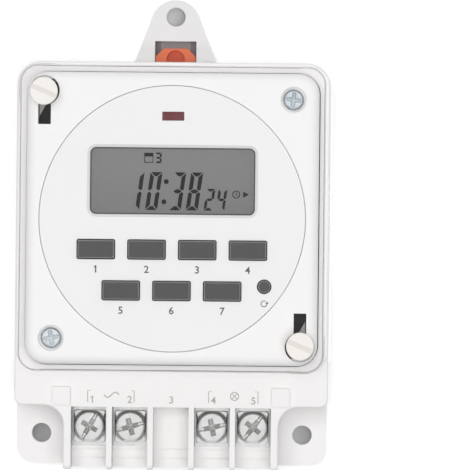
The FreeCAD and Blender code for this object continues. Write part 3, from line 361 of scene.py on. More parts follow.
def plastic(name, colour, rough, grain, relief, variation=0.03):
    """A moulded plastic; relief is the depth of its texture in millimetres."""
    return finish(name, SKIN, relief, SKIN_STRENGTH, {
        "Colour": (*colour, 1), "Roughness": rough, "Grain": grain, "Variation": variation})


def metal(name, bright, dull, rough, relief):
    """A plated metal; relief is the depth of its scratches in millimetres."""
    material = finish(name, PLATING, relief, PLATING_STRENGTH, {
        "Bright": (*bright, 1), "Dull": (*dull, 1), "Roughness": rough})
    set_shader(material, "Metallic", 1.0)
    return material


# %% [markdown]
# The timer's own finishes. The housing and the front panel are the same pale plastic with a fine
# satin skin; the dial is a little smoother. The locks are a warmer white, the latch orange.

# %% Plastics of the timer
# Colour, roughness, fineness of the grain, depth of the grain in mm, and how far the tone varies.
WHITE = plastic("housing white", (0.815, 0.805, 0.80), 0.42, 7000.0, 0.010)
PANEL_WHITE = plastic("panel white", (0.85, 0.846, 0.842), 0.36, 8000.0, 0.007)
ORANGE = plastic("latch orange", (0.73, 0.180, 0.082), 0.36, 5000.0, 0.015, 0.12)
MAT_GREY = plastic("mat grey", (0.13, 0.13, 0.13), 0.55, 6000.0, 0.012, 0.08)
BLACK = plastic("moulded black", (0.02, 0.02, 0.021), 0.45, 6000.0, 0.012, 0.2)
HOLDER = plastic("holder white", (0.66, 0.66, 0.64), 0.45, 6000.0, 0.012)
RELAY_BLUE = plastic("relay blue", (0.03, 0.12, 0.42), 0.32, 6000.0, 0.008, 0.08)
FILM_YELLOW = plastic("film yellow", (0.62, 0.42, 0.05), 0.30, 6000.0, 0.006, 0.08)
DISC_BLUE = plastic("disc blue", (0.04, 0.10, 0.33), 0.28, 2500.0, 0.03, 0.15)
SLEEVE = plastic("sleeve black", (0.025, 0.026, 0.04), 0.30, 4000.0, 0.006, 0.2)
INK = plastic("print grey", (0.115, 0.107, 0.100), 0.55, 14000.0, 0.004, 0.25)
STAMP = plastic("stamped grey", (0.46, 0.435, 0.41), 0.55, 12000.0, 0.006, 0.12)
SEGMENT = plastic("segment black", (0.010, 0.010, 0.012), 0.35, 9000.0, 0.001, 0.2)
set_shader(SEGMENT, "Specular IOR Level", 0.1)

# %% Metals of the timer
# Bright and dull colour, roughness, and depth of the scratches in mm.
NICKEL = metal("nickel plate", (0.93, 0.94, 0.93), (0.76, 0.77, 0.74), 0.17, 0.030)
ZINC = metal("blue zinc", (0.90, 0.955, 0.975), (0.68, 0.74, 0.79), 0.18, 0.026)
WIRE = metal("spring wire", (0.60, 0.60, 0.60), (0.40, 0.40, 0.41), 0.26, 0.006)
CAN = metal("bright can", (0.76, 0.76, 0.77), (0.60, 0.60, 0.60), 0.16, 0.004)
print("plain finishes:", len(bpy.data.materials))

# %% [markdown]
# Some finishes are more than one skin. The cover is clear polycarbonate: the shader refracts, and
# shadow rays pass it as through a bare pane, which keeps the panel behind it as bright as it is.
# The display is a grey mirror-like film behind its glass, a little lighter towards the top, with
# painted shadow along its rim. The circuit boards are green lacquer over copper tracks. Keys, locks
# and the dial carry painted light that follows depth: a key has a painted highlight along its edge
# and painted shade on its side and in its opening, and the dial's openings and the locks' sides and
# bits have painted shade. The housing and the latch have painted shade from place to place (a greyer
# tab, a brown guide, a dark inside, a darker eye), always by where a point lies on the piece.

# %% Clear cover


def clear_plastic():
    """Glass for camera rays; a bare pane for shadow, diffuse and glossy rays, by one mix.

    The index is lower than the plastic's own, because the wall is thin: its rounded edges then show
    the real cover's soft grey lines, where a full index would draw them black.
    """
    material, tree, shader = blank_material("clear cover")
    where = place_on(tree)
    wear = spread(tree, noise(tree, where, scale=900.0, detail=4.0, rough=0.7), 0.008, 0.03)
    feed(tree, shader.inputs, {
        "Base Color": (0.985, 0.985, 0.985, 1), "Transmission Weight": 1.0, "IOR": 1.28, "Roughness": wear})
    bumped(tree, shader, noise(tree, where, scale=60.0), relief=0.02, strength=0.2)
    bare = add_node(tree, "ShaderNodeBsdfTransparent")
    bare.inputs["Color"].default_value = (0.994, 0.992, 0.992, 1)
    rays = add_node(tree, "ShaderNodeLightPath").outputs
    through = math_node(tree, "MAXIMUM", rays["Is Shadow Ray"], rays["Is Diffuse Ray"])
    through = math_node(tree, "MAXIMUM", through, rays["Is Glossy Ray"])
    either_shader(tree, through, shader, bare, tree.nodes["Material Output"])
    return material


CLEAR = clear_plastic()

# %% Finishes that change over a piece


def finish_parts(material):
    """The tree of a finish, the colour socket of its effect, its own colour, and Object coordinates."""
    tree = material.node_tree
    colour = next(n for n in tree.nodes if n.type == "GROUP").inputs["Colour"]
    return tree, colour, tuple(colour.default_value), place_on(tree)


def display_film():
    """Grey that rises from bottom to top, with a fine speckle of the foil and painted shadow at the rim.

    The mask is four fifths height and one fifth noise. The painted shadow, which stands for the
    shade of the window's wall, is what lies further from the window's box than its round corners.
    """
    window, recess_shade_from, recess_shade_to = ((-18.7, -60, 2.5), (18.7, 0, 15.9)), 1.12, 1.31
    material = plastic("display film", (0.141, 0.141, 0.139), 0.16, 9000.0, 0.0005, 0.02)
    tree, colour, own, where = finish_parts(material)
    height = math_node(tree, "MULTIPLY", ramp(tree, along(tree, where, "Z"), 0.5, 18), 0.8)
    speck = math_node(tree, "MULTIPLY", noise(tree, where, scale=5200.0, detail=1.0), 0.2)
    shade = mixed(tree, math_node(tree, "ADD", height, speck), own, (0.176, 0.175, 0.173))
    # Painted shadow: the film darkens near the window's wall, as the recess would shade it.
    recess_shade = ramp(tree, beyond_box(tree, where, *window), recess_shade_from, recess_shade_to)
    tree.links.new(mixed(tree, recess_shade, shade, (0.030, 0.029, 0.030)), colour)
    set_shader(material, "Coat Weight", 0.2)
    return material


def circuit_board():
    """Lacquer green, lighter over the tracks, which are the joints of a brick pattern laid upright."""
    material = plastic("board green", (0.008, 0.070, 0.026), 0.30, 9000.0, 0.004, 0.05)
    tree, colour, own, where = finish_parts(material)
    laid = add_node(tree, "ShaderNodeMapping")
    feed(tree, laid.inputs, {"Vector": where, "Rotation": (math.pi / 2, 0, 0)})
    tracks = add_node(tree, "ShaderNodeTexBrick", offset=0.5)
    feed(tree, tracks.inputs, {"Vector": laid.outputs[0], "Scale": 130.0, "Mortar Size": 0.02,
                               "Mortar Smooth": 0.2, "Brick Width": 0.9, "Row Height": 0.22})
    tree.links.new(mixed(tree, tracks.outputs["Fac"], own, (0.055, 0.190, 0.070)), colour)
    set_shader(material, "Coat Weight", 0.5)
    return material


def stepped_plastic(name, node, stops, rough, grain, relief, variation):
    """A plastic whose colour follows the depth below a node's crown: a ramp over (mm, colour) stops.

    Its stops paint light: a key's edge has a painted highlight and is lighter than its crown, and the
    side of a head or a key and the walls of an opening carry painted shade.
    """
    material = plastic(name, stops[0][1], rough, grain, relief, variation)
    tree, colour, shade, where = finish_parts(material)
    depth, crown = along(tree, where, "Y"), corners(node)[0][1]
    for before, after in zip(stops, stops[1:]):
        shade = mixed(tree, ramp(tree, depth, crown + before[0], crown + after[0]), shade, after[1])
    tree.links.new(shade, colour)
    return material


def housing_shades():
    """Painted shade makes the thin tab greyer than the body.

    Its guide and the body's inside lie in brown and dark shade. Both are boxes that end within the
    walls, the second with corners as round as the body's.
    """
    tab_from, tab_to, soft = 39.8, 42.5, 0.1
    guide_box = (-5.3, -3.7, 39.0), (5.3, -0.3, 45.0)
    inner_box, corner = ((-32.4, -23.5, -32.4), (32.4, -13.5, 32.4)), 5.0
    tree, colour, own, where = finish_parts(WHITE)
    # Painted shade: above tab_from the white turns to a darker grey on the tab.
    shade = mixed(tree, ramp(tree, along(tree, where, "Z"), tab_from, tab_to), own, (0.695, 0.688, 0.684))
    # Painted shade: brown in the latch's guide, then dark grey on the body's inside.
    outside = ramp(tree, beyond_box(tree, where, *guide_box), 0.0, soft)
    shade = mixed(tree, outside, (0.185, 0.155, 0.158), shade)
    outside = ramp(tree, beyond_box(tree, where, *inner_box), corner, corner + soft)
    tree.links.new(mixed(tree, outside, (0.12, 0.115, 0.115), shade), colour)


def latch_shades():
    """The latch's blind eye has painted shade, a darker red: it is what lies within its radius, in front of
    its floor.
    """
    eye_below_top, eye_radius, eye_floor = 2.7, 2.27, -1.85
    tree, colour, own, where = finish_parts(ORANGE)
    level = corners("din_latch")[1][2] - eye_below_top
    away = beyond_box(tree, where, (0, -60, level), (0, 60, level))
    outside = math_node(tree, "MAXIMUM", ramp(tree, away, eye_radius, eye_radius + 0.08),
                        ramp(tree, along(tree, where, "Y"), eye_floor, eye_floor + 0.1))
    tree.links.new(mixed(tree, outside, (0.60, 0.10, 0.050), own), colour)


housing_shades()
latch_shades()
print("shaded by place:", WHITE.name, "and", ORANGE.name)

# %% Dial, keys, locks, display and lens
# The dial's own white at its face; below it the walls of its openings have painted shade, nearly black.
DIAL_WHITE = stepped_plastic("dial white", "dial_face", [
    (0.71, (0.815, 0.811, 0.812)), (0.80, (0.03, 0.03, 0.03))], 0.33, 9000.0, 0.005, 0.03)
# A key's own grey at its crown, a painted highlight along its rounded edge, a thin line of painted shade
# below it, painted shade on its side, and nearly black painted shade in its opening below the dial.
KEY_GREY_AND_PAINTED_LIGHT = [(0.005, (0.064, 0.064, 0.064)), (0.025, (0.34, 0.34, 0.342)), (0.055, (0.30, 0.30, 0.302)),
             (0.09, (0.012, 0.012, 0.012)), (0.40, (0.040, 0.040, 0.041)), (0.72, (0.040, 0.040, 0.041)),
             (0.85, (0.004, 0.004, 0.004))]
KEY_GREY = stepped_plastic("key grey", "key_1", KEY_GREY_AND_PAINTED_LIGHT, 0.40, 8000.0, 0.014, 0.10)
RESET_GREY = stepped_plastic("reset key grey", "key_reset", KEY_GREY_AND_PAINTED_LIGHT, 0.40, 8000.0, 0.014, 0.10)
for rubber in (KEY_GREY, RESET_GREY):
    set_shader(rubber, "Specular IOR Level", 0.35)
# The locks have painted shade down the side of the head. Their last stops are painted shade on the face
# of the bit, which lies this far before their back end.
BIT_THICK = 2.4
low, high = corners("cover_lock_upper")
bit_face = high[1] - low[1] - BIT_THICK
LOCK_WHITE = stepped_plastic("lock cream", "cover_lock_upper", [
    (0.10, (0.83, 0.80, 0.765)), (0.32, (0.72, 0.69, 0.655)), (bit_face - 0.3, (0.72, 0.69, 0.655)),
    (bit_face - 0.1, (0.30, 0.285, 0.275))], 0.38, 6000.0, 0.012, 0.06)
FILM = display_film()
BOARD = circuit_board()
LENS_RED = plastic("lens red", (0.14, 0.014, 0.020), 0.22, 3000.0, 0.010, 0.45)
set_shader(LENS_RED, "Coat Weight", 0.1)
print("materials:", len(bpy.data.materials))

# %% [markdown]
# Every node of the frame gets its finish from one table. The screws, the washers and the spring are
# drawn again further on, with turned grooves and a real coil.

# %% Finish of every node
# The terminal cells that have a screw; the middle one is empty.
CELLS = (1, 2, 4, 5)
FINISHES = {
    WHITE: ["base_housing"],
    PANEL_WHITE: ["front_panel"],
    DIAL_WHITE: ["dial_face"],
    CLEAR: ["clear_cover"],
    LOCK_WHITE: ["cover_lock_upper", "cover_lock_lower"],
    ORANGE: ["din_latch"],
    KEY_GREY: ["key_%d" % n for n in range(1, 8)],
    RESET_GREY: ["key_reset"],
    MAT_GREY: ["key_mat", "zebra_strip_upper", "zebra_strip_lower"],
    FILM: ["lcd_glass"],
    LENS_RED: ["led_lens", "status_led"],
    HOLDER: ["lcd_holder"],
    BOARD: ["display_board", "power_board"],
    BLACK: ["controller_chip", "board_link"],
    CAN: ["backup_battery", "quartz_crystal"],
    DISC_BLUE: ["varistor"],
    SLEEVE: ["electrolytic_capacitor"],
    RELAY_BLUE: ["relay"],
    FILM_YELLOW: ["film_capacitor"],
    NICKEL: ["%s_%d" % (part, n) for part in ("terminal_plate", "clamp_washer", "terminal_screw")
             for n in CELLS],
    ZINC: ["panel_screw_upper", "panel_screw_lower", "power_screw_1", "power_screw_2"]
    + ["display_screw_%d" % n for n in range(1, 5)],
    WIRE: ["latch_spring"],
}
for material, names in FINISHES.items():
    for name in names:
        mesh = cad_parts[name].data
        mesh.materials.clear()
        mesh.materials.append(material)
print("finished nodes:", sum(len(names) for names in FINISHES.values()))

# %% [markdown]
# A screw head is where a stand-in gives itself away. The real ones have a domed crown, a cross
# with rounded inner corners that gets deeper to the middle, a shallow slot over the cross, and a
# thread. All of that is one grid: each ring is a circle about the screw's axis, and its depth is
# lowered by what the driver's cross takes away at that place.

# %% Turned screws


def cross_depth(x, z, reach, wing, slot, deep):
    """How deep the driver's cross is at a place on the crown.

    Two bars cross each other; a smooth minimum of their distances rounds the inner corners. The
    depth rises from the bars' edges inwards, and falls off by a share from the middle to their
    ends. A narrow slot adds a little.
    """
    falls_off, slot_share, slot_edge, soft = 0.55, 0.16, 0.06, 0.88 * wing
    lying = np.maximum(np.abs(x) - reach, np.abs(z) - wing)
    standing = np.maximum(np.abs(z) - reach, np.abs(x) - wing)
    share = np.clip(0.5 + 0.5 * (standing - lying) / soft, 0, 1)
    inside = -(standing * (1 - share) + lying * share - soft * share * (1 - share))
    middle = 1.0 - falls_off * np.clip(np.hypot(x, z) / reach, 0, 1)
    cross = deep * smooth_step(0.0, wing * 0.75, inside) * middle
    groove = slot_share * deep * smooth_step(-slot_edge, slot_edge, slot - np.abs(z))
    return np.maximum(cross, groove)


def turned_screw(name, body, material, node, turn, thick, shank, soft, pitch, reach, wing):
    """Rings from the crown's middle over the rounded rim, under the head and down the thread.

    Soft is the rim's rounding, and reach and wing are shares of the head's radius. The crown falls
    off by fall towards the rim. The thread's radius falls and rises as a triangle wave of depth
    over pitch minus the angle's share of a turn, which is a helix.
    """
    place, head, crown, tip = seat(node)
    back, fall, bevel, collar = crown - thick, 0.1, 0.1, 0.15
    slot, deep, thread = 0.09 * head, 0.62 * thick, 0.16 * shank
    columns, flat_rows, dented_rows, rows_per_turn = 128, 58, 64, 7
    angle = np.linspace(0, 2 * math.pi, columns, endpoint=False)[None, :]
    quarter = np.linspace(0, math.pi / 2, 9)[1:]
    flat = np.linspace(0.02, head - soft, flat_rows)
    down = np.linspace(back - 0.02, tip + 0.3, max(int((back - tip) / pitch * rows_per_turn), 8))
    radius = np.concatenate([flat, head - soft + soft * np.sin(quarter), [head, head - bevel, shank + collar],
                             np.full(len(down), shank), [shank * 0.72, 0.05]])[:, None] + 0 * angle
    level = np.concatenate([crown - fall * (flat / head) ** 2,
                            crown - fall - (soft - fall) * (1 - np.cos(quarter)), [back + bevel, back, back],
                            down, [tip, tip]])[:, None] + 0 * angle
    x, z = radius * np.cos(angle), radius * np.sin(angle)
    crossed_x = x * math.cos(turn) + z * math.sin(turn)
    crossed_z = z * math.cos(turn) - x * math.sin(turn)
    on_crown = (np.arange(len(radius)) < dented_rows)[:, None]
    dent = cross_depth(crossed_x, crossed_z, head * reach, head * wing, slot, deep)
    level = level - np.where(on_crown, dent, 0)
    wave = np.abs(2 * ((level / pitch - angle / (2 * math.pi)) % 1.0) - 1)
    on_thread = smooth_step(back - 0.2, back - 1.2, level) * smooth_step(tip + 0.25, tip + 0.9, level)
    radius = radius - thread * wave * np.where(on_crown, 0, on_thread)
    points = np.stack([place[0] + radius * np.cos(angle), -level, place[1] + radius * np.sin(angle)], axis=-1)
    return placed(mesh_data(name, *tube(points.reshape(-1, 3), len(radius), columns)), material, body)


M4 = {"thick": 2.6, "shank": 1.95, "soft": 0.36, "pitch": 0.7, "reach": 0.60, "wing": 0.17}
SELF_TAPPING = {"thick": 2.0, "shank": 1.4, "soft": 0.7, "pitch": 1.06, "reach": 0.78, "wing": 0.22}
for number, turn in zip(CELLS, (1.05, 0.28, 0.22, 0.92)):
    node = "terminal_screw_%d" % number
    piece = turned_screw("turned_screw_%d" % number, "screw_%d" % number, NICKEL, node, turn, **M4)
    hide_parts(node)
for name, turn in (("upper", -0.12), ("lower", 0.18)):
    node = "panel_screw_" + name
    piece = turned_screw("turned_panel_screw_" + name, "housing", ZINC, node, turn, **SELF_TAPPING)
    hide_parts(node)
print("turned screws:", len(CELLS) + 2)

# %% [markdown]
# The square washers are pressed: their left and right edges stand up beside the screw's head and
# keep the wire from slipping out. The grid runs round the square and, the other way, from the hole
# over the top, down the edge and back under to the hole, so it closes on itself like a tyre.

# %% Pressed washers


def pressed_washer(name, body, node, hole):
    """Rings from the hole to a rounded square; the top is raised near the side edges.

    The square's half width at an angle is half over the sixteenth root of cos^16 + sin^16.
    """
    place, half, high, low = seat(node)
    columns, top_rows, bevel, edge_share = 160, 26, 0.12, 0.985
    lip_high, dish = 0.75, 0.16
    angle = np.linspace(0, 2 * math.pi, columns, endpoint=False)[None, :]
    square = half / (np.cos(angle) ** 16 + np.sin(angle) ** 16) ** (1 / 16)
    share = np.concatenate([np.linspace(0, edge_share, top_rows), [1.0, 1.0, edge_share, 0.0]])[:, None]
    radius = hole + (square - hole) * share
    x, z = radius * np.cos(angle), radius * np.sin(angle)
    lip = lip_high * smooth_step(3.60, 3.80, np.abs(x)) * (1 - smooth_step(1.7, 3.5, np.abs(z)))
    top = high - dish + dish * smooth_step(3.3, 4.6, np.hypot(x, z)) + lip
    row = np.arange(len(share))[:, None] - top_rows
    level = np.select([row < -1, row == -1, row == 0, row == 1],
                      [top, top - 0.02, top - bevel, low + bevel], low)
    points = np.stack([place[0] + x, -level, place[1] + z], axis=-1)
    ring = grid_faces(len(share), columns, ring_rows=True)
    return placed(mesh_data(name, points, [ring]), NICKEL, body)


WASHER_HOLE = 2.15
for number in CELLS:
    node = "clamp_washer_%d" % number
    piece = pressed_washer("pressed_washer_%d" % number, "clamp_%d" % number, node, WASHER_HOLE)
    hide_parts(node)
print("washers:", len(CELLS))

# %% [markdown]
# The latch spring is a real coil here. A wire's path is a helix whose rise is slow at both ends,
# where the last turn lies flat, and a circle is carried along it.

# %% Coil spring


def coil(name, low, high, radius, wire, turns):
    """A circle carried along a helix about the vertical through the middle of two corners.

    Height follows t minus a sine of two pi t, scaled, so the first and last turns lie close. At
    each point the circle lies in the plane of the outward direction and the vertical.
    """
    steps, columns, flatten = 320, 12, 0.51
    t = np.linspace(0, 1, steps)[:, None]
    turn = 2 * math.pi * turns * t
    rise = t - flatten * np.sin(2 * math.pi * t) / (2 * math.pi)
    height = low[2] + wire + (high[2] - low[2] - 2 * wire) * rise
    angle = np.linspace(0, 2 * math.pi, columns, endpoint=False)[None, :]
    out = radius + wire * np.cos(angle)
    x = (low[0] + high[0]) / 2 + out * np.cos(turn)
    y = (low[1] + high[1]) / 2 + out * np.sin(turn)
    points = np.stack([x, y, height + wire * np.sin(angle)], axis=-1)
    return placed(mesh_data(name, *tube(points.reshape(-1, 3), steps, columns)), WIRE, "housing")


low, high = corners("latch_spring")
spring = coil("coil_spring", low, high, radius=0.95, wire=0.2, turns=7.5)
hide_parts("latch_spring")
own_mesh(spring)

# %% [markdown]
# Print and display segments are thin flat shapes. Two helpers make them all: a plate is an outline
# with a thickness, and a stroke is a small rectangle carried along a path. Both give points and
# faces, and several of them are put into one mesh.

# %% Plates and strokes


def plate(outline, level, thick):
    """A closed plate: the outline (n, 2) at a level over the wall and again at level plus thick."""
    outline = np.asarray(outline, float)
    count = len(outline)
    front = np.insert(outline, 1, -(level + thick), axis=1)
    rear = np.insert(outline, 1, -level, axis=1)
    n = np.arange(count)
    return np.vstack([front, rear]), [n[None, ::-1], n[None, :] + count, grid_faces(2, count)]


def stroke(path, width, level, thick, closed=False):
    """A flat line: at each point of the path (n, 2) four corners of its cross-section.

    The side direction is the direction from the point before to the point after, turned by 90
    degrees, so the line keeps its width round a bend.
    """
    path = np.asarray(path, float)
    ahead = np.roll(path, -1, axis=0) - np.roll(path, 1, axis=0) if closed else np.gradient(path, axis=0)
    side = np.stack([-ahead[:, 1], ahead[:, 0]], axis=1) / np.linalg.norm(ahead, axis=1)[:, None] * width / 2
    edges = ((side, 0), (side, thick), (-side, thick), (-side, 0))
    points = np.stack([np.insert(path + aside, 1, -(level + rise), axis=1) for aside, rise in edges], axis=1)
    points = points.reshape(-1, 3)
    if closed:
        return points, [grid_faces(len(path), 4, ring_rows=True)]
    return tube(points, len(path), 4)


def circle(x, z, radius, count=40, start=0.0, end=2 * math.pi, closed=True):
    """Points (count, 2) of a circle or an arc."""
    angle = np.linspace(start, end, count, endpoint=not closed)
    return np.stack([x + radius * np.cos(angle), z + radius * np.sin(angle)], axis=1)


def joined(name, parts):
    """One mesh from several closed parts, each with its points and its tables of faces."""
    tables, points, first = [], [], 0
    for part_points, part_tables in (outwards(*part) for part in parts):
        tables += [faces + first for faces in part_tables]
        points.append(part_points)
        first += len(part_points)
    return mesh_data(name, np.vstack(points), tables, smooth=False)


# %% [markdown]
# The display shows a time in plain seven-segment digits, two smaller digits for the seconds, the
# number of the day beside a small calendar mark, and a clock mark. On a real display the dark
# segments lie inside the glass. Here they are plates as thin as foil on its face.

# %% Seven-segment digits
SEGMENTS_OF = {"0": "abcdef", "1": "bc", "2": "abged", "3": "abgcd", "4": "fgbc", "8": "abcdefg"}


def segment_outlines(wide, high, bar, gap):
    """Outlines of a digit's seven bars about its middle; side bars end in slopes that meet the others."""
    mid = high / 2
    top = [(gap, high), (wide - gap, high), (wide - gap - bar, high - bar), (bar + gap, high - bar)]
    centre = [(gap + bar * 0.3, mid), (bar + gap, mid + bar / 2), (wide - bar - gap, mid + bar / 2),
              (wide - gap - bar * 0.3, mid), (wide - bar - gap, mid - bar / 2), (bar + gap, mid - bar / 2)]
    left = [(0, high - gap), (bar, high - bar - gap), (bar, mid + bar / 2 + gap), (bar * 0.45, mid + gap),
            (0, mid + bar * 0.3 + gap)]
    top, centre, left = np.array(top), np.array(centre), np.array(left)
    across, over = np.array([-1, 1]), np.array([1, -1])
    shift_x, shift_z = np.array([wide, 0]), np.array([0, high])
    bars = {"a": top, "d": top * over + shift_z, "g": centre, "f": left, "b": left * across + shift_x,
            "e": left * over + shift_z}
    bars["c"] = bars["e"] * across + shift_x
    return {key: outline - np.array([wide / 2, high / 2]) for key, outline in bars.items()}


FILM_FACE = -corners("lcd_glass")[0][1]
FOIL = 0.012


def digit(sign, x, z, wide, high, bar, lean=8.0):
    """The plates of one digit about (x, z); every height is moved sideways by its tangent of the lean."""
    bars = segment_outlines(wide, high, bar, bar * 0.16)
    slope = np.array([[1, 0], [math.tan(math.radians(lean)), 1]])
    return [plate(bars[key] @ slope + (x, z), FILM_FACE, FOIL) for key in SEGMENTS_OF[sign]]


def film_stroke(path, width, closed=False):
    """A line on the face of the display."""
    return stroke(path, width, FILM_FACE, FOIL, closed)


# Width, height and bar of a large, a small and a day digit, and the middles of the first two.
LARGE, SMALL, DAY = (2.95, 9.3, 0.98), (2.15, 5.35, 0.66), (1.6, 2.6, 0.48)
LARGE_LEVEL, SMALL_LEVEL = 6.75, 4.77
reading = []
for sign, x in zip("1038", (-9.0, -4.6, 1.2, 5.35)):
    reading += digit(sign, x, LARGE_LEVEL, *LARGE)
for sign, x in zip("24", (9.05, 12.0)):
    reading += digit(sign, x, SMALL_LEVEL, *SMALL)
reading += digit("3", -3.55, 14.9, *DAY, lean=0.0)
reading += [plate(circle(x, z, 0.6), FILM_FACE, FOIL) for x, z in ((-1.55, 9.1), (-2.1, 4.15))]
# The calendar mark: a frame, and a header that is a little thicker so that it hides the frame's top.
reading.append(film_stroke([(-6.9, 13.75), (-6.9, 15.6), (-4.9, 15.6), (-4.9, 13.75), (-6.9, 13.75)], 0.24))
reading.append(plate([(-7.02, 15.2), (-4.78, 15.2), (-4.78, 16.1), (-7.02, 16.1)], FILM_FACE, FOIL * 1.2))
# The clock mark with its two hands, and the arrow beside it.
reading.append(film_stroke(circle(15.6, 6.1, 0.85), 0.24, closed=True))
reading.append(film_stroke([(15.6, 6.65), (15.6, 6.1), (16.0, 5.8)], 0.2))
reading.append(plate([(17.3, 5.35), (18.7, 6.1), (17.3, 6.85)], FILM_FACE, FOIL))
segments = placed(joined("display_segments", reading), SEGMENT, "housing")
print("display marks:", len(reading))

# %% [markdown]
# Plain numerals are printed under the keys and stand beside the terminals, with a wave mark for
# the supply and a lamp mark for the switched side. Blender's own typeface is turned into a mesh,
# and each numeral is set upright where its key or screw is. Marks that cross each other differ a
# little in thickness, so that no two faces lie in one plane.

# %% Numerals
CAP_SHARE = 0.70
BOLD = 0.045


def flag(x, z, height, level, thick):
    """The short slope at the head of a 1, which the typeface leaves out."""
    slope = [(x - 0.26 * height, z + 0.26 * height), (x, z + 0.5 * height)]
    return stroke(slope, 0.13 * height, level, thick)


def numerals(name, marks, others, level, thick, material):
    """Numerals (text, x, z, height) in mm, set on the housing at a level, and other marks with them.

    A numeral is CAP_SHARE of the typeface's size high. Each outline is moved outwards by BOLD mm,
    because print is a little heavier than the typeface.
    """
    work = bmesh.new()
    for text, x, z, height in marks:
        curve = bpy.data.curves.new("numeral", "FONT")
        curve.body = text
        curve.size = height * MM / CAP_SHARE
        curve.align_x, curve.align_y = "CENTER", "CENTER"
        curve.extrude = thick * MM / 2
        curve.offset = BOLD * MM
        curve.resolution_u = 4
        holder = bpy.data.objects.new("numeral", curve)
        mesh = bpy.data.meshes.new_from_object(holder)
        mesh.transform(Matrix.Translation((x * MM, -(level + thick / 2) * MM, z * MM)) @ UPRIGHT)
        work.from_mesh(mesh)
        bpy.data.objects.remove(holder)
        bpy.data.meshes.remove(mesh)
    strokes = joined("strokes", others)
    work.from_mesh(strokes)
    bpy.data.meshes.remove(strokes)
    bmesh.ops.remove_doubles(work, verts=work.verts, dist=1e-7)
    bmesh.ops.recalc_face_normals(work, faces=work.faces)
    mesh = bpy.data.meshes.new(name)
    work.to_mesh(mesh)
    work.free()
    return placed(mesh, material, "housing")


# %% Print on the dial
DIAL = seat("dial_face")[2]
PRINT_THICK, DIAL_NUMERAL = 0.015, 1.75
key_marks = []
for number in range(1, 8):
    low, high = corners("key_%d" % number)
    key_marks.append((str(number), (low[0] + high[0]) / 2, low[2] - DIAL_NUMERAL, DIAL_NUMERAL))
low, high = corners("key_reset")
reset_x, reset_z = (low[0] + high[0]) / 2, low[2] - 2.0
arrow = circle(reset_x, reset_z, 0.72, 24, math.radians(60), math.radians(360), closed=False)
head = [(reset_x + 0.36, reset_z), (reset_x + 1.1, reset_z), (reset_x + 0.72, reset_z + 0.62)]
printed = [stroke(arrow, 0.22, DIAL, PRINT_THICK), plate(head, DIAL, PRINT_THICK),
           flag(*key_marks[0][1:], DIAL, PRINT_THICK - 0.001)]
dial_print = numerals("dial_numerals", key_marks, printed, DIAL, PRINT_THICK, INK)
print("numerals on the dial:", len(key_marks))

# %% Marks beside the terminals
SHOULDER, STAMP_THICK = 31.0, 0.03
NUMERAL_Z, NUMERAL_HIGH = -44.85, 1.75
BRACKET_TOP, BRACKET_FOOT, BRACKET_ARM = -42.55, -45.4, 0.7
WAVE_X, WAVE_Z, WAVE_HALF, WAVE_HIGH = -14.7, -43.6, 1.9, 0.62
LAMP_X, LAMP_Z, LAMP_ROUND, LAMP_CROSS = 15.7, -43.7, 1.0, 0.7
NUMERALS_X = (-19.4, -10.2, 0.1, 10.5, 20.4)
terminal_marks = [(str(n), x, NUMERAL_Z, NUMERAL_HIGH) for n, x in enumerate(NUMERALS_X, 1)]
stamped = []
for x, arm in ((-20.6, BRACKET_ARM), (-9.1, -BRACKET_ARM), (9.3, BRACKET_ARM), (21.5, -BRACKET_ARM)):
    bracket = [(x + arm, BRACKET_TOP), (x, BRACKET_TOP), (x, BRACKET_FOOT)]
    stamped.append(stroke(bracket, 0.22, SHOULDER, STAMP_THICK))
stamped.append(flag(*terminal_marks[0][1:], SHOULDER, STAMP_THICK - 0.002))
t = np.linspace(-1, 1, 41)
wave = np.stack([WAVE_X + WAVE_HALF * t, WAVE_Z + WAVE_HIGH * np.sin(math.pi * t)], axis=1)
stamped.append(stroke(wave, 0.3, SHOULDER, STAMP_THICK))
stamped.append(stroke(circle(LAMP_X, LAMP_Z, LAMP_ROUND), 0.26, SHOULDER, STAMP_THICK, closed=True))
for rise, thick in ((LAMP_CROSS, 0.027), (-LAMP_CROSS, 0.023)):
    bar = [(LAMP_X - LAMP_CROSS, LAMP_Z - rise), (LAMP_X + LAMP_CROSS, LAMP_Z + rise)]
    stamped.append(stroke(bar, 0.24, SHOULDER, thick))
terminal_print = numerals("terminal_numerals", terminal_marks, stamped, SHOULDER, STAMP_THICK, STAMP)
print("marks beside the terminals:", len(terminal_marks) + len(stamped))

# %% [markdown]
# Light for a product photograph on white: a large lamp on each side of the camera, nearly frontal,
# so that the deep terminal cells are lit too, and a soft world that is white for the camera. Glossy
# rays see a studio that is bright at the sides and above and darker where the photographer stands.
# The stage behind the timer's back keeps only its soft shadow.

# %% World


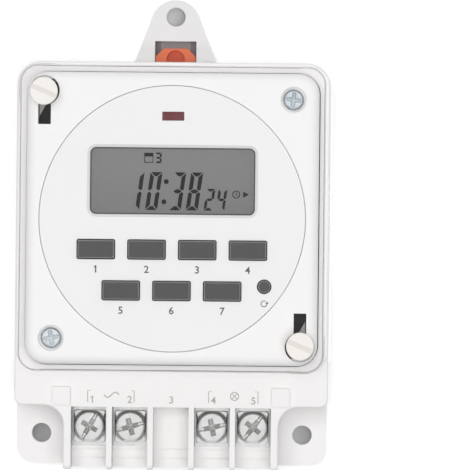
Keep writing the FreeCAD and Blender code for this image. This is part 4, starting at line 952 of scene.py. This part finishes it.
def set_world():
    """White for camera rays, also behind glass. Glossy rays see rings of light about the viewing line.

    The ring's level follows the cosine of the angle to the viewer: fairly bright in front, darker
    at some 40 degrees, bright at the sides, and a little more so above than below. Diffuse rays see
    a share of it, ambient, because the lamps carry most of the light. Behind the timer, where no lamp
    stands, that share rises to rear.
    """
    above, ambient, rear = 0.2, 0.4, 0.95
    world = bpy.data.worlds.new("white room")
    world.use_nodes = True
    bpy.context.scene.world = world
    tree = world.node_tree
    tree.nodes.clear()
    direction = add_node(tree, "ShaderNodeTexCoord").outputs["Generated"]
    ahead, up = along(tree, direction, "Y"), along(tree, direction, "Z")
    rings = add_node(tree, "ShaderNodeValToRGB")
    towards_viewer = math_node(tree, "MAXIMUM", math_node(tree, "MULTIPLY", ahead, -1.0), 0.0)
    tree.links.new(towards_viewer, rings.inputs[0])
    rings.color_ramp.interpolation = "EASE"
    for place, grey in ((0.35, 1.0), (0.72, 0.68), (0.88, 0.80)):
        rings.color_ramp.elements.new(place).color = (grey, grey, grey, 1)
    rings.color_ramp.elements[0].color = (1, 1, 1, 1)
    rings.color_ramp.elements[-1].color = (0.88, 0.88, 0.88, 1)
    lift = math_node(tree, "ADD", math_node(tree, "MULTIPLY", up, above), 1.0)
    level = math_node(tree, "MULTIPLY", rings.outputs["Color"], lift)
    rays = add_node(tree, "ShaderNodeLightPath").outputs
    share = spread(tree, mapped(tree, ahead, {"From Max": 0.5}), ambient, rear)
    soften = spread(tree, rays["Is Diffuse Ray"], 1.0, share)
    seen = math_node(tree, "MAXIMUM", rays["Is Camera Ray"], rays["Is Transmission Ray"])
    bright, soft = add_node(tree, "ShaderNodeBackground"), add_node(tree, "ShaderNodeBackground")
    feed(tree, bright.inputs, {"Color": (1, 1, 1, 1)})
    strength = math_node(tree, "MULTIPLY", level, soften)
    feed(tree, soft.inputs, {"Color": (0.99, 0.99, 1.0, 1), "Strength": strength})
    either_shader(tree, seen, soft, bright, add_node(tree, "ShaderNodeOutputWorld"))
    return world


print("world:", set_world().name)

# %% Lamps
LAMP_SIZE = 700


def lamp(name, place, target, power):
    """A square area lamp that looks at a point, in millimetres; glossy rays see the world in its place."""
    data = bpy.data.lights.new(name, "AREA")
    data.shape = "SQUARE"
    data.size = LAMP_SIZE * MM
    data.energy = power
    item = bpy.data.objects.new(name, data)
    item.location = np.array(place) * MM
    item.visible_glossy = False
    aim = Vector(np.array(target) * MM) - item.location
    item.rotation_euler = aim.to_track_quat("-Z", "Y").to_euler()
    COLLECTION.objects.link(item)


lamp("key", (-190, -2450, 190), (0, -30, 0), 23.5)
lamp("fill", (210, -2450, -210), (0, -30, -20), 23.0)
print("lamps:", len(bpy.data.lights))

# %% [markdown]
# The stage is one pale sheet just behind the timer, and cards behind its holes that are painted
# shade: they stand for the shade seen through the holes, darker on one side than the other. Only
# camera rays from the front meet them. The sheet keeps the timer's shadow, and the timer's back
# stays open to the light and to a look from behind. Neither is part of the object.

# %% Stage


def stage_paper(name, shade, glow=0.0, shade_fade=None):
    """Matt paper that only camera rays from the front meet; glow is a little light added for them.

    With shade_fade, (left, right, shade at the right) in mm, the paper's grey changes from side to
    side: painted shade on the cards behind the holes.
    """
    material, tree, shader = blank_material(name)
    colour = (shade, shade, shade, 1)
    if shade_fade:
        left, right, other = shade_fade
        across = ramp(tree, along(tree, place_on(tree), "X"), left, right)
        colour = mixed(tree, across, colour, (other, other, other))
    feed(tree, shader.inputs, {
        "Base Color": colour, "Roughness": 0.9, "Specular IOR Level": 0.0, "Emission Strength": glow})
    camera_ray = add_node(tree, "ShaderNodeLightPath").outputs["Is Camera Ray"]
    from_behind = add_node(tree, "ShaderNodeNewGeometry").outputs["Backfacing"]
    shown = math_node(tree, "MULTIPLY", camera_ray, math_node(tree, "SUBTRACT", 1.0, from_behind))
    nothing = add_node(tree, "ShaderNodeBsdfTransparent")
    either_shader(tree, shown, nothing, shader, tree.nodes["Material Output"])
    return material


def sheet(name, left, right, low, high, level, material):
    """A flat rectangle in mm at a depth, facing the viewer."""
    points = [(left, level, low), (right, level, low), (right, level, high), (left, level, high)]
    item = placed(mesh_data(name, points, [np.arange(4)[None, :]], smooth=False), material)


EAR_X, EAR_Z, TAB_Z, CARD_HALF = 33.65, -54.05, 50.9, 3.4
SHEET_HALF, SHEET_Y, CARD_Y = 700, 0.4, 0.2
# Middle (x, z) of each card behind a hole, and its painted shade: its grey at the left and at the right.
SHADE_CARDS = {"left_ear": (-EAR_X, EAR_Z, 0.197, 0.29), "right_ear": (EAR_X, EAR_Z, 0.38, 0.21),
         "tab": (0, TAB_Z, 0.505, 0.32)}
sheet("stage_sheet", -SHEET_HALF, SHEET_HALF, -SHEET_HALF, SHEET_HALF, SHEET_Y,
      stage_paper("stage paper", 0.96, 0.10))
for spot, (x, z, shade, other) in SHADE_CARDS.items():
    paper = stage_paper("painted shade card " + spot, shade, shade_fade=(x - 2.5, x + 2.5, other))
    sheet("stage_shade_card_" + spot, x - CARD_HALF, x + CARD_HALF, z - 3.2, z + CARD_HALF, CARD_Y, paper)
# The card behind the latch's window is painted shade too.
sheet("stage_shade_card_window", -5.6, 5.6, 36.0, 46.0, CARD_Y, stage_paper("painted shade card", 0.26))
print("stage sheets:", 2 + len(SHADE_CARDS))
